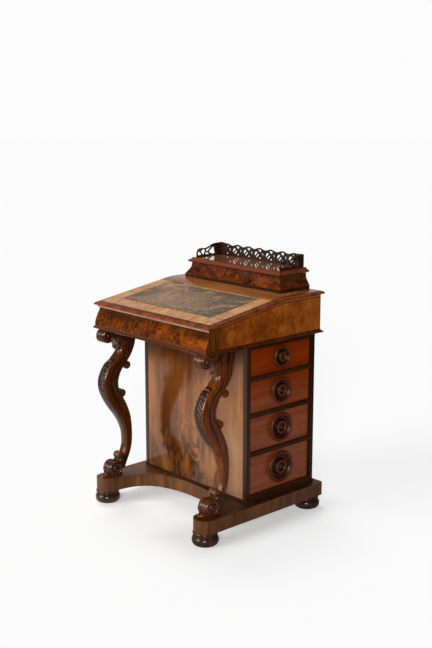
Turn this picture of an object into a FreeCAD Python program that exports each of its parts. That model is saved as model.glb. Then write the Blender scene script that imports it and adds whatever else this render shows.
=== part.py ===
import FreeCAD, Part
import os
from math import sin, cos, atan, radians, degrees, sqrt

# Davenport desk. Millimetres, +Z up, front of the desk faces -Y, the real drawers open towards +X.
# Origin: centre of the footprint, on the floor.

# ---- driving dimensions ----
FOOT_Y = 228.0            # foot centres, half spacing front to back
FOOT_R = 42.0
FOOT_H = 41.0
BASE_W = 283.0            # half width of the platform
BASE_T = 44.0
BASE_BACK = 266.0
BASE_MID_Y = -66.0        # front edge of the platform at its middle
BASE_CORNER_R = 8.0
ARM_R = 37.0              # rounded front end of each platform arm

PED_W = 250.0             # half width of the pedestal
PED_FRONT = -57.0
PED_BACK = 249.0
PED_TOP = 595.0           # underside of the desk case
PLINTH_H = 7.0
PLINTH_OUT = 2.0
PED_BOTTOM_T = 19.0
PED_TOP_T = 17.5
STILE_W = 18.0            # across the front and back faces
PANEL_T = 15.0
RAIL_T = 13.0
FRONT_RECESS = 9.0        # drawer fronts lie back from the rails
FRONT_T = 16.0
FALSE_T = 12.0
DRAWER_GAP = 1.0          # clearance between a drawer and the frame
RUN_GAP = 0.3             # a drawer over its divider, a lid over its seat
DRAWER_SIDE_T = 8.0
DRAWER_BOTTOM_T = 5.0
DRAWER_BOTTOM_UP = 4.0
DRAWER_SIDE_DROP = 9.0    # the drawer sides stop this far below the top of the front
RAIL_1_Z = 231.5          # middles of the dividers, from the lowest up
RAIL_2_Z = 357.0
RAIL_3_Z = 475.5
KNOB_R = (36.0, 44.0, 48.5, 53.0)
KNOB_OUT = 16.0
KNOB_RISE = 3.5           # knob centre above the middle of its front

CASE_W = 271.3            # half width of the desk case
CASE_BACK = 249.5
CASE_BOARD_T = 14.0
CASE_BACK_T = 12.0
CASE_BOTTOM_T = 12.0
MOULD_OUT = 8.7           # overhang of the lower moulding at the sides
FRIEZE_FRONT = -246.0
FRIEZE_BACK = -190.0
BEAD_R = 4.0
NECK_IN = 16.0            # upright face above the frieze, behind its lower front edge

TOP_Z = 733.0             # flat ledge
BEND_Y = 78.0             # where the ledge turns into the slope
SLOPE = 0.1555            # fall of the slope per unit of depth
TOP_T = 12.5              # upright thickness of lid and ledge
TOP_W = 281.0             # half width over the moulded edge
TOP_FRONT = -244.0
TOP_BACK = 258.0
EDGE_IN = 18.0            # width of the moulded edge
JOINT_Y = 31.35           # joint between the lid and the ledge
JOINT_GAP = 0.35          # half of the joint
LEATHER_W = 213.0
LEATHER_FRONT = -174.5
LEATHER_BACK = 24.0
LEATHER_T = 1.0
PLATE_X = -30.5
PLATE_W = 35.0
PLATE_D = 13.0
PLATE_T = 0.6

BOX_W = 227.6             # half width of the stationery box at its plinth
BOX_FRONT = 108.0
BOX_BACK = 244.0
BOX_PLINTH_T = 10.0
BOX_H = 50.3              # plinth and walls
BOX_WAIST_IN = 16.8
BOX_WALL_IN = 26.0        # inner face of the walls, from the plinth edge
BOX_BACK_T = 10.0
BLID_W = 219.5
BLID_FRONT = 113.0
BLID_BACK = 250.0
BLID_T = 16.4
GAL_X = 200.5             # half width over the gallery
GAL_T = 5.0
GAL_FRONT = 134.0
GAL_BACK = 244.5
GAL_SIDE_H = 29.0
GAL_BACK_H = 42.0
GAL_RAIL_H = 5.0
GAL_PITCH = 26.5

SUP_INSET = 43.0          # middle of a scroll support, in from the side of the platform
SUP_T = 40.0
SUP_D = 131.0             # depth of a scroll support at its head

KNUCKLE_R = 2.4
PIN_R = 1.2
PIN_CLEAR = 0.05
LEAF_T = 1.2
LEAF_W = 11.0
HINGE_L = 50.0
HINGE_END = 15.0
HINGE_GAP = 0.4
SEAT_CLEAR = 0.4
SLOPE_HINGE_X = 175.0
BOX_HINGE_X = 130.0

# ---- derived levels ----
BASE_TOP = FOOT_H + BASE_T
FOOT_X = BASE_W - ARM_R    # foot centres, half spacing across
SUP_X = BASE_W - SUP_INSET
RAIL_LEVELS = (RAIL_1_Z, RAIL_2_Z, RAIL_3_Z)
PLINTH_TOP = BASE_TOP + PLINTH_H
PED_FLOOR = BASE_TOP + PED_BOTTOM_T
PED_CEIL = PED_TOP - PED_TOP_T
PED_IN_FRONT = PED_FRONT + PANEL_T
PED_IN_BACK = PED_BACK - PANEL_T - 1.0
CASE_FLOOR = PED_TOP + CASE_BOTTOM_T
FRONT_PLANE = PED_W - FRONT_RECESS
BOX_FLOOR = TOP_Z + BOX_PLINTH_T
BOX_TOP = TOP_Z + BOX_H
BLID_BASE = BOX_TOP + RUN_GAP
BLID_TOP = BLID_BASE + BLID_T
ALPHA = atan(SLOPE)
FAR = 2000.0
NECK_Y = FRIEZE_FRONT + NECK_IN


def V(x, y, z):
    return FreeCAD.Vector(x, y, z)


def box(x0, x1, y0, y1, z0, z1):
    return Part.makeBox(x1 - x0, y1 - y0, z1 - z0, V(x0, y0, z0))


def prism(points, direction):
    wire = Part.makePolygon(points + [points[0]])
    return Part.Face(wire).extrude(direction)


def prism_x(yz, x0, x1):
    return prism([V(x0, y, z) for y, z in yz], V(x1 - x0, 0, 0))


def prism_z(xy, z0, z1):
    return prism([V(x, y, z0) for x, y in xy], V(0, 0, z1 - z0))


def smooth(points):
    curve = Part.BSplineCurve()
    curve.interpolate(points)
    return curve.toShape()


def rod(x0, x1, y, z, r):
    return Part.makeCylinder(r, x1 - x0, V(x0, y, z), V(1, 0, 0))


def turned(profile, centre, axis):
    points = [V(r, 0, h) for r, h in profile]
    face = Part.Face(Part.makePolygon(points + [points[0]]))
    solid = face.revolve(V(0, 0, 0), V(0, 0, 1), 360)
    solid.Placement = FreeCAD.Placement(centre, FreeCAD.Rotation(V(0, 0, 1), axis))
    return solid


def levels(rows):
    rings = []
    for x0, x1, y0, y1, z in rows:
        rings.append([V(x0, y0, z), V(x1, y0, z), V(x1, y1, z), V(x0, y1, z)])
    faces = [Part.Face(Part.makePolygon(ring + [ring[0]])) for ring in (rings[0], rings[-1])]
    for low, high in zip(rings, rings[1:]):
        for k in range(0, 4):
            m = (k + 1) % 4
            faces.append(Part.Face(Part.makePolygon([low[k], low[m], high[m], high[k], low[k]])))
    return Part.makeSolid(Part.makeShell(faces))


def slope_z(y):
    return TOP_Z - SLOPE * (BEND_Y - y)


def mirror_x(shape):
    return shape.mirror(V(0, 0, 0), V(1, 0, 0))


def fused(shapes):
    out = shapes[0].multiFuse(shapes[1:])
    return out.removeSplitter()


nodes = {}

# ---- feet ----


def foot(x, y):
    bun = [(0.0, 0.0)]
    waist = FOOT_R * 0.86
    bun_h = FOOT_H * 0.74
    for k in range(0, 13):
        a = radians(-62.0 + k * 124.0 / 12.0)
        bun.append((waist + (FOOT_R - waist) * cos(a) ** 0.6, bun_h * (0.5 + 0.5 * sin(a) / sin(radians(62.0)))))
    ring = FOOT_R * 0.935
    bun.append((FOOT_R * 0.82, bun_h + FOOT_H * 0.02))
    bun.append((FOOT_R * 0.82, FOOT_H * 0.80))
    bun.append((ring - 1.5, FOOT_H * 0.82))
    bun.append((ring, FOOT_H * 0.86))
    bun.append((ring, FOOT_H * 0.95))
    bun.append((ring - 1.5, FOOT_H))
    bun.append((0.0, FOOT_H))
    return turned(bun, V(x, y, 0), V(0, 0, 1))


nodes["foot_front_left"] = foot(-FOOT_X, -FOOT_Y)
nodes["foot_front_right"] = foot(FOOT_X, -FOOT_Y)
nodes["foot_rear_left"] = foot(-FOOT_X, FOOT_Y)
nodes["foot_rear_right"] = foot(FOOT_X, FOOT_Y)

# ---- platform with its concave front ----


def platform():
    z = FOOT_H
    run = BASE_MID_Y + FOOT_Y
    inner = FOOT_X - ARM_R
    half = [
        (0.0, BASE_MID_Y),
        (0.22 * inner, BASE_MID_Y - 0.012 * run),
        (0.42 * inner, BASE_MID_Y - 0.055 * run),
        (0.58 * inner, BASE_MID_Y - 0.115 * run),
        (0.70 * inner, BASE_MID_Y - 0.185 * run),
        (0.82 * inner, BASE_MID_Y - 0.300 * run),
        (0.905 * inner, BASE_MID_Y - 0.450 * run),
        (0.96 * inner, BASE_MID_Y - 0.610 * run),
        (0.99 * inner, BASE_MID_Y - 0.800 * run),
        (inner, -FOOT_Y),
    ]
    curve = [V(-x, y, z) for x, y in reversed(half)] + [V(x, y, z) for x, y in half[1:]]
    edges = [smooth(curve)]
    edges.append(Part.Arc(V(inner, -FOOT_Y, z), V(FOOT_X, -FOOT_Y - ARM_R, z), V(BASE_W, -FOOT_Y, z)).toShape())
    edges.append(Part.makeLine(V(BASE_W, -FOOT_Y, z), V(BASE_W, BASE_BACK - BASE_CORNER_R, z)))
    off = BASE_CORNER_R * (1 - sqrt(0.5))
    rc = BASE_CORNER_R
    edges.append(Part.Arc(V(BASE_W, BASE_BACK - rc, z), V(BASE_W - off, BASE_BACK - off, z),
                          V(BASE_W - rc, BASE_BACK, z)).toShape())
    edges.append(Part.makeLine(V(BASE_W - rc, BASE_BACK, z), V(rc - BASE_W, BASE_BACK, z)))
    edges.append(Part.Arc(V(rc - BASE_W, BASE_BACK, z), V(off - BASE_W, BASE_BACK - off, z),
                          V(-BASE_W, BASE_BACK - rc, z)).toShape())
    edges.append(Part.makeLine(V(-BASE_W, BASE_BACK - rc, z), V(-BASE_W, -FOOT_Y, z)))
    edges.append(Part.Arc(V(-BASE_W, -FOOT_Y, z), V(-FOOT_X, -FOOT_Y - ARM_R, z), V(-inner, -FOOT_Y, z)).toShape())
    return Part.Face(Part.Wire(edges)).extrude(V(0, 0, BASE_T))


nodes["platform_base"] = platform()

# ---- pedestal ----
plinth = box(-PED_W - PLINTH_OUT, PED_W + PLINTH_OUT, PED_FRONT - PLINTH_OUT, PED_BACK + PLINTH_OUT,
             BASE_TOP, PLINTH_TOP)
floor_board = box(-PED_W, PED_W, PED_IN_FRONT, PED_IN_BACK, BASE_TOP, PED_FLOOR)
nodes["pedestal_bottom_board"] = fused([plinth, floor_board])
nodes["pedestal_top_board"] = box(-PED_W, PED_W, PED_IN_FRONT, PED_IN_BACK, PED_CEIL, PED_TOP)
panel_w = PED_W - STILE_W
nodes["pedestal_front_panel"] = box(-panel_w, panel_w, PED_FRONT + 0.5, PED_IN_FRONT, PLINTH_TOP, PED_TOP)
nodes["pedestal_back_panel"] = box(-panel_w, panel_w, PED_IN_BACK, PED_BACK - 0.5, PLINTH_TOP, PED_TOP)
for side, s in (("left", -1), ("right", 1)):
    xa = min(s * panel_w, s * PED_W)
    xb = max(s * panel_w, s * PED_W)
    nodes["stile_front_" + side] = box(xa, xb, PED_FRONT, PED_IN_FRONT, PLINTH_TOP, PED_TOP)
    nodes["stile_rear_" + side] = box(xa, xb, PED_IN_BACK, PED_BACK, PLINTH_TOP, PED_TOP)

openings = []
tops = list(reversed(RAIL_LEVELS))
ceil = PED_CEIL
for level in tops:
    openings.append((level + RAIL_T, ceil))
    ceil = level
openings.append((PED_FLOOR, ceil))
for n, level in enumerate(tops, 1):
    nodes["divider_%d" % n] = box(-PED_W, PED_W, PED_IN_FRONT, PED_IN_BACK, level, level + RAIL_T)


# ---- dished turned knob ----
def knob(r, centre, axis):
    out = KNOB_OUT
    profile = [
        (0.0, 0.0),
        (0.50 * r, 0.0),
        (0.48 * r, 0.10 * out),
        (0.66 * r, 0.22 * out),
        (0.90 * r, 0.38 * out),
        (0.98 * r, 0.50 * out),
        (r, 0.62 * out),
        (0.98 * r, 0.76 * out),
        (0.93 * r, 0.86 * out),
        (0.87 * r, 0.86 * out),
        (0.80 * r, 0.74 * out),
        (0.68 * r, 0.58 * out),
        (0.56 * r, 0.50 * out),
        (0.47 * r, 0.50 * out),
        (0.44 * r, 0.62 * out),
        (0.43 * r, 0.80 * out),
        (0.39 * r, 0.88 * out),
        (0.34 * r, 0.84 * out),
        (0.29 * r, 0.84 * out),
        (0.26 * r, 0.94 * out),
        (0.20 * r, out),
        (0.12 * r, 0.97 * out),
        (0.06 * r, 0.84 * out),
        (0.0, 0.80 * out),
    ]
    return turned(profile, centre, axis)


KNOB_Y = (PED_IN_FRONT + PED_IN_BACK) / 2.0
BOX_END = -FRONT_PLANE + FALSE_T + 7.0
for n, (z0, z1) in enumerate(openings, 1):
    name = "drawer_%d_" % n
    f0 = z0 + RUN_GAP
    f1 = z1 - DRAWER_GAP
    ya = PED_IN_FRONT + DRAWER_GAP
    yb = PED_IN_BACK - DRAWER_GAP
    back_of_front = FRONT_PLANE - FRONT_T
    nodes[name + "front"] = box(back_of_front, FRONT_PLANE, ya, yb, f0, f1)
    top = f1 - DRAWER_SIDE_DROP
    outer = box(BOX_END, back_of_front, ya, yb, f0, top)
    cut = box(BOX_END + DRAWER_SIDE_T, back_of_front, ya + DRAWER_SIDE_T, yb - DRAWER_SIDE_T,
              f0 + DRAWER_BOTTOM_UP + DRAWER_BOTTOM_T, top)
    under = box(BOX_END + DRAWER_SIDE_T, back_of_front, ya + DRAWER_SIDE_T, yb - DRAWER_SIDE_T,
                f0, f0 + DRAWER_BOTTOM_UP)
    nodes[name + "box"] = outer.cut(cut).cut(under)
    knob_z = (z0 + z1) / 2.0 + KNOB_RISE
    nodes[name + "knob"] = knob(KNOB_R[n - 1], V(FRONT_PLANE, KNOB_Y, knob_z), V(1, 0, 0))
    nodes["false_front_%d" % n] = box(-FRONT_PLANE, -FRONT_PLANE + FALSE_T, PED_IN_FRONT, PED_IN_BACK, z0, z1)
    nodes["false_knob_%d" % n] = knob(KNOB_R[n - 1], V(-FRONT_PLANE, KNOB_Y, knob_z), V(-1, 0, 0))


# ---- scroll supports: an S-shaped leg between the platform arm and the case ----
def support():
    # outline points: distance back from the frieze for a head 131 deep, and part of the height
    h = PED_TOP - BASE_TOP
    d = SUP_D / 131.0
    z0 = BASE_TOP
    y0 = FRIEZE_FRONT
    xa = SUP_X - SUP_T / 2.0
    xb = SUP_X + SUP_T / 2.0

    def at(dy, part_h):
        return V(xa, y0 + dy * d, z0 + part_h * h)

    front = [(66, 0.935), (69, 0.885), (65, 0.830), (46, 0.788), (22, 0.756), (2, 0.700), (-6, 0.650),
             (-4, 0.598), (9, 0.535), (28, 0.472), (50, 0.410), (69, 0.347), (81, 0.278), (86, 0.200), (82, 0.130)]
    back = [(65, 0.060), (74, 0.100), (92, 0.145), (104, 0.215), (108, 0.296), (105, 0.372), (93, 0.455),
            (77, 0.520), (60, 0.575), (52, 0.640), (57, 0.700), (80, 0.750), (104, 0.800), (124, 0.870), (130, 0.935)]
    edges = [smooth([at(dy, k) for dy, k in front])]
    edges.append(Part.makeLine(at(*front[-1]), at(*back[0])))
    edges.append(smooth([at(dy, k) for dy, k in back]))
    edges.append(Part.makeLine(at(*back[-1]), at(131, 1.0)))
    edges.append(Part.makeLine(at(131, 1.0), at(66, 1.0)))
    edges.append(Part.makeLine(at(66, 1.0), at(*front[0])))
    body = Part.Face(Part.Wire(edges)).extrude(V(SUP_T, 0, 0))
    discs = []
    for dy, k, r in ((16, 0.955, 23.0), (40, 0.941, 20.0), (92, 0.742, 14.0), (66, 0.562, 14.0),
                     (64, 0.122, 11.0), (36, 0.046, 23.0)):
        discs.append(rod(xa, xb, y0 + dy * d, z0 + k * h, r * d))
    lintel = box(xa, xb, y0 + 20 * d, y0 + SUP_D, PED_TOP - 16.0, PED_TOP)
    ankle = prism_x([(y0 + 36 * d, z0), (y0 + 66 * d, z0), (y0 + 92 * d, z0 + 0.145 * h),
                     (y0 + 62 * d, z0 + 0.135 * h)], xa, xb)
    toe = prism_x([(y0 - 10 * d, z0), (y0 + 40 * d, z0), (y0 + 40 * d, z0 + 22.0), (y0 + 10 * d, z0 + 16.0),
                   (y0 - 8 * d, z0 + 9.0)], xa, xb)
    whole = fused([body, lintel, ankle, toe] + discs)
    keep = box(xa - 1, xb + 1, y0 - SUP_D, y0 + 2 * SUP_D, z0, PED_TOP)
    return whole.common(keep)


leg = support()
nodes["scroll_support_right"] = leg
nodes["scroll_support_left"] = mirror_x(leg)

# ---- desk case ----
mould = []
for out, h in ((5.5, 0.0), (MOULD_OUT, 1.2), (MOULD_OUT, 3.6), (6.2, 5.4), (3.2, 7.4), (1.2, 9.6), (0.0, 12.0)):
    mould.append((-CASE_W - out, CASE_W + out, FRIEZE_FRONT - out * 0.36, CASE_BACK + out * 0.86,
                  PED_TOP + h * CASE_BOTTOM_T / 12.0))
nodes["case_bottom"] = levels(mould)


def under_lid(y, gap):
    return slope_z(min(y, BEND_Y)) - TOP_T - gap


bead_z = under_lid(NECK_Y, RUN_GAP) - BEAD_R - 1.0
ogee = [V(-CASE_W, FRIEZE_FRONT + d, z) for d, z in
        ((0.0, CASE_FLOOR), (-0.3, CASE_FLOOR + 6.0), (3.2, CASE_FLOOR + 19.0), (10.5, CASE_FLOOR + 35.0),
         (17.6, CASE_FLOOR + 47.0), (20.0, bead_z - BEAD_R))]
f_edges = [smooth(ogee)]
f_edges.append(Part.makeLine(ogee[-1], V(-CASE_W, NECK_Y, bead_z - BEAD_R)))
f_edges.append(Part.Arc(V(-CASE_W, NECK_Y, bead_z - BEAD_R),
                        V(-CASE_W, NECK_Y - BEAD_R, bead_z),
                        V(-CASE_W, NECK_Y, bead_z + BEAD_R)).toShape())
f_top = V(-CASE_W, NECK_Y, under_lid(NECK_Y, RUN_GAP))
f_back = V(-CASE_W, FRIEZE_BACK, under_lid(FRIEZE_BACK, RUN_GAP))
f_floor = V(-CASE_W, FRIEZE_BACK, CASE_FLOOR)
f_edges.append(Part.makeLine(V(-CASE_W, NECK_Y, bead_z + BEAD_R), f_top))
f_edges.append(Part.makeLine(f_top, f_back))
f_edges.append(Part.makeLine(f_back, f_floor))
f_edges.append(Part.makeLine(f_floor, ogee[0]))
nodes["case_front"] = Part.Face(Part.Wire(f_edges)).extrude(V(2 * CASE_W, 0, 0))

side_profile = [
    (FRIEZE_BACK, CASE_FLOOR),
    (CASE_BACK, CASE_FLOOR),
    (CASE_BACK, TOP_Z - TOP_T),
    (BEND_Y, TOP_Z - TOP_T),
    (JOINT_Y + JOINT_GAP, under_lid(JOINT_Y + JOINT_GAP, 0.0)),
    (JOINT_Y + JOINT_GAP, under_lid(JOINT_Y + JOINT_GAP, RUN_GAP)),
    (FRIEZE_BACK, under_lid(FRIEZE_BACK, RUN_GAP)),
]
nodes["case_side_right"] = prism_x(side_profile, CASE_W - CASE_BOARD_T, CASE_W)
nodes["case_side_left"] = prism_x(side_profile, -CASE_W, CASE_BOARD_T - CASE_W)
nodes["case_back"] = box(CASE_BOARD_T - CASE_W, CASE_W - CASE_BOARD_T, CASE_BACK - CASE_BACK_T, CASE_BACK,
                         CASE_FLOOR, TOP_Z - TOP_T)


# ---- sloping lid and fixed ledge, with one moulded edge all round ----
EDGE_ROWS = ((3.0, 1.0), (0.0, 0.86), (0.0, 0.52), (1.6, 0.40), (5.0, 0.26), (10.0, 0.12), (15.0, 0.03), (18.0, 0.0))


def slab(length, thick, front):
    rows = []
    for inset, deep in EDGE_ROWS:
        d = inset * EDGE_IN / 18.0
        if front:
            rows.append((-TOP_W + d, TOP_W - d, -length + d, 0.0, -deep * thick))
        else:
            rows.append((-TOP_W + d, TOP_W - d, 0.0, length - d, -deep * thick))
    return levels(rows)


def tilt(shape):
    shape.rotate(V(0, 0, 0), V(1, 0, 0), degrees(ALPHA))
    shape.translate(V(0, BEND_Y, TOP_Z))
    return shape


slope_len = (BEND_Y - TOP_FRONT) / cos(ALPHA)
slope_slab = tilt(slab(slope_len, TOP_T * cos(ALPHA), True))
lid = slope_slab.common(box(-FAR, FAR, -FAR, JOINT_Y - JOINT_GAP, -FAR, FAR))
flat_slab = slab(TOP_BACK - BEND_Y, TOP_T, False)
flat_slab.translate(V(0, BEND_Y, TOP_Z))
strip = slope_slab.common(box(-FAR, FAR, JOINT_Y + JOINT_GAP, BEND_Y, -FAR, FAR))
ledge = fused([flat_slab, strip])


def hinge_span(x):
    return (x - HINGE_L / 2.0, x + HINGE_L / 2.0)


# butt hinges of the writing lid: leaves let into the two faces of the joint, knuckle along the top
AXIS_Z = slope_z(JOINT_Y)
fixed_leaves = []
moving_leaves = []
for x in (-SLOPE_HINGE_X, SLOPE_HINGE_X):
    a, b = hinge_span(x)
    seat = rod(a - SEAT_CLEAR, b + SEAT_CLEAR, JOINT_Y, AXIS_Z, KNUCKLE_R + SEAT_CLEAR)
    pocket_l = box(a - SEAT_CLEAR, b + SEAT_CLEAR, JOINT_Y - JOINT_GAP - LEAF_T, JOINT_Y, AXIS_Z - LEAF_W, AXIS_Z)
    pocket_r = box(a - SEAT_CLEAR, b + SEAT_CLEAR, JOINT_Y, JOINT_Y + JOINT_GAP + LEAF_T, AXIS_Z - LEAF_W, AXIS_Z)
    lid = lid.cut(seat).cut(pocket_l)
    ledge = ledge.cut(seat).cut(pocket_r)
    m0 = a + HINGE_END + HINGE_GAP
    m1 = b - HINGE_END - HINGE_GAP
    leaf_r = box(a, b, JOINT_Y + JOINT_GAP, JOINT_Y + JOINT_GAP + LEAF_T, AXIS_Z - LEAF_W, AXIS_Z)
    ends = rod(a, a + HINGE_END, JOINT_Y, AXIS_Z, KNUCKLE_R)
    ends2 = rod(b - HINGE_END, b, JOINT_Y, AXIS_Z, KNUCKLE_R)
    pin = rod(a + 1.0, b - 1.0, JOINT_Y, AXIS_Z, PIN_R)
    clear = rod(m0 - HINGE_GAP, m1 + HINGE_GAP, JOINT_Y, AXIS_Z, KNUCKLE_R + RUN_GAP)
    fixed_leaves.append(fused([leaf_r.cut(clear), ends, ends2, pin]))
    leaf_l = box(a, b, JOINT_Y - JOINT_GAP - LEAF_T, JOINT_Y - JOINT_GAP, AXIS_Z - LEAF_W, AXIS_Z)
    c1 = rod(a - 1.0, m0, JOINT_Y, AXIS_Z, KNUCKLE_R + RUN_GAP)
    c2 = rod(m1, b + 1.0, JOINT_Y, AXIS_Z, KNUCKLE_R + RUN_GAP)
    middle = rod(m0, m1, JOINT_Y, AXIS_Z, KNUCKLE_R)
    bore = rod(m0 - 1.0, m1 + 1.0, JOINT_Y, AXIS_Z, PIN_R + PIN_CLEAR)
    moving_leaves.append(fused([leaf_l.cut(c1).cut(c2), middle]).cut(bore))
nodes["slope_hinge_fixed"] = Part.makeCompound(fixed_leaves)
nodes["slope_hinge_moving"] = Part.makeCompound(moving_leaves)


def on_slope(x0, x1, y0, y1, below, above):
    s0 = (y0 - BEND_Y) / cos(ALPHA)
    s1 = (y1 - BEND_Y) / cos(ALPHA)
    return tilt(box(x0, x1, s0, s1, -below, above))


leather = on_slope(-LEATHER_W, LEATHER_W, LEATHER_FRONT, LEATHER_BACK, LEATHER_T, 0.0)
lid = lid.cut(leather)
nodes["lid_leather"] = leather
nodes["lid_plate"] = on_slope(PLATE_X - PLATE_W / 2.0, PLATE_X + PLATE_W / 2.0, LEATHER_BACK - PLATE_D - 1.0,
                              LEATHER_BACK - 1.0, 0.0, PLATE_T)
nodes["slope_lid"] = lid
nodes["ledge_board"] = ledge

# ---- stationery box ----
nodes["stationery_tray"] = box(-BOX_W, BOX_W, BOX_FRONT, BOX_BACK, TOP_Z, BOX_FLOOR)
wall_h = BOX_TOP - BOX_FLOOR
wall = [(0.0, 0.0), (1.2, 0.05), (3.6, 0.14), (7.0, 0.26), (10.6, 0.38), (13.6, 0.52), (15.6, 0.66),
        (BOX_WAIST_IN, 0.80), (BOX_WAIST_IN, 1.0)]
inner = BOX_WALL_IN
wall_front = [(BOX_FRONT + d, BOX_FLOOR + k * wall_h) for d, k in wall]
wall_front += [(BOX_FRONT + inner, BOX_TOP), (BOX_FRONT + inner, BOX_FLOOR)]
front_bar = prism_x(wall_front, -BOX_W, BOX_W)
front_plan = prism_z([(-BOX_W, BOX_FRONT), (BOX_W, BOX_FRONT), (BOX_W - inner, BOX_FRONT + inner),
                      (inner - BOX_W, BOX_FRONT + inner)], BOX_FLOOR, BOX_TOP)
nodes["stationery_front"] = front_bar.common(front_plan)
side_pts = [V(BOX_W - d, BOX_FRONT, BOX_FLOOR + k * wall_h) for d, k in wall]
side_pts += [V(BOX_W - inner, BOX_FRONT, BOX_TOP), V(BOX_W - inner, BOX_FRONT, BOX_FLOOR)]
side_bar = prism(side_pts, V(0, BOX_BACK - BOX_FRONT, 0))
side_plan = prism_z([(BOX_W, BOX_FRONT), (BOX_W, BOX_BACK), (BOX_W - inner, BOX_BACK),
                     (BOX_W - inner, BOX_FRONT + inner)], BOX_FLOOR, BOX_TOP)
box_side = side_bar.common(side_plan)
nodes["stationery_side_right"] = box_side
nodes["stationery_side_left"] = mirror_x(box_side)
nodes["stationery_back"] = box(inner - BOX_W, BOX_W - inner, BOX_BACK - BOX_BACK_T, BOX_BACK, BOX_FLOOR, BOX_TOP)

lid_rows = []
for inset, back, k in ((5.0, 3.0, 0.0), (1.5, 0.5, 0.12), (0.0, 0.0, 0.28), (0.8, 0.0, 0.42), (3.5, 0.5, 0.54),
                       (7.5, 1.5, 0.62), (10.5, 2.2, 0.78), (12.0, 2.5, 1.0)):
    lid_rows.append((-BLID_W + inset, BLID_W - inset, BLID_FRONT + inset, BLID_BACK - back, BLID_BASE + k * BLID_T))
blid = levels(lid_rows)
BAXIS_Y = BOX_BACK + KNUCKLE_R + 0.5
BAXIS_Z = (BOX_TOP + BLID_BASE) / 2.0
fixed_leaves = []
moving_leaves = []
for x in (-BOX_HINGE_X, BOX_HINGE_X):
    a, b = hinge_span(x)
    seat = rod(a - SEAT_CLEAR, b + SEAT_CLEAR, BAXIS_Y, BAXIS_Z, KNUCKLE_R + SEAT_CLEAR)
    relief = box(a - SEAT_CLEAR, b + SEAT_CLEAR, BAXIS_Y, BLID_BACK + 1.0, BLID_BASE - 1.0,
                 BAXIS_Z + KNUCKLE_R + SEAT_CLEAR)
    pocket = box(a - SEAT_CLEAR, b + SEAT_CLEAR, BAXIS_Y - LEAF_W, BAXIS_Y, BLID_BASE - 1.0, BLID_BASE + LEAF_T)
    blid = blid.cut(seat).cut(relief).cut(pocket)
    m0 = a + HINGE_END + HINGE_GAP
    m1 = b - HINGE_END - HINGE_GAP
    plate = box(a, b, BOX_BACK, BOX_BACK + LEAF_T, BAXIS_Z - LEAF_W, BAXIS_Z)
    arm = box(a, b, BOX_BACK, BAXIS_Y, BAXIS_Z - LEAF_T, BAXIS_Z)
    ends = rod(a, a + HINGE_END, BAXIS_Y, BAXIS_Z, KNUCKLE_R)
    ends2 = rod(b - HINGE_END, b, BAXIS_Y, BAXIS_Z, KNUCKLE_R)
    pin = rod(a + 1.0, b - 1.0, BAXIS_Y, BAXIS_Z, PIN_R)
    clear = rod(m0 - HINGE_GAP, m1 + HINGE_GAP, BAXIS_Y, BAXIS_Z, KNUCKLE_R + RUN_GAP)
    fixed_leaves.append(fused([fused([plate, arm]).cut(clear), ends, ends2, pin]))
    top_leaf = box(a, b, BAXIS_Y - LEAF_W, BAXIS_Y, BLID_BASE, BLID_BASE + LEAF_T)
    c1 = rod(a - 1.0, m0, BAXIS_Y, BAXIS_Z, KNUCKLE_R + RUN_GAP)
    c2 = rod(m1, b + 1.0, BAXIS_Y, BAXIS_Z, KNUCKLE_R + RUN_GAP)
    middle = rod(m0, m1, BAXIS_Y, BAXIS_Z, KNUCKLE_R)
    bore = rod(m0 - 1.0, m1 + 1.0, BAXIS_Y, BAXIS_Z, PIN_R + PIN_CLEAR)
    moving_leaves.append(fused([top_leaf.cut(c1).cut(c2), middle]).cut(bore))
nodes["box_hinge_fixed"] = Part.makeCompound(fixed_leaves)
nodes["box_hinge_moving"] = Part.makeCompound(moving_leaves)
nodes["stationery_lid"] = blid


# ---- pierced gallery ----
def ring_y(x, z, r_out, r_in, y0, y1):
    outer = Part.makeCylinder(r_out, y1 - y0, V(x, y0, z), V(0, 1, 0))
    hole = Part.makeCylinder(r_in, y1 - y0, V(x, y0, z), V(0, 1, 0))
    return outer.cut(hole)


def ring_x(y, z, r_out, r_in, x0, x1):
    outer = Part.makeCylinder(r_out, x1 - x0, V(x0, y, z), V(1, 0, 0))
    hole = Part.makeCylinder(r_in, x1 - x0, V(x0, y, z), V(1, 0, 0))
    return outer.cut(hole)


def gallery_back():
    y0 = GAL_BACK - GAL_T
    parts = [box(-GAL_X, GAL_X, y0, GAL_BACK, BLID_TOP, BLID_TOP + GAL_RAIL_H)]
    band = GAL_BACK_H * 0.13
    r = GAL_BACK_H / 2.0 - 1.0
    zc = BLID_TOP + GAL_BACK_H / 2.0 - 0.6
    count = int((GAL_X - 42.0) / GAL_PITCH)
    for k in range(-count, count + 1):
        parts.append(ring_y(k * GAL_PITCH, zc, r, r - band, y0, GAL_BACK))
    for s in (-1, 1):
        block = [(s * (GAL_X - 36.0), BLID_TOP), (s * GAL_X, BLID_TOP), (s * GAL_X, BLID_TOP + GAL_BACK_H),
                 (s * (GAL_X - 14.0), BLID_TOP + GAL_BACK_H), (s * (GAL_X - 36.0), BLID_TOP + 0.86 * GAL_BACK_H)]
        parts.append(prism([V(x, y0, z) for x, z in block], V(0, GAL_T, 0)))
    keep = box(-GAL_X, GAL_X, y0, GAL_BACK, BLID_TOP, BLID_TOP + GAL_BACK_H + 1.0)
    return fused(parts).common(keep)


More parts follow.
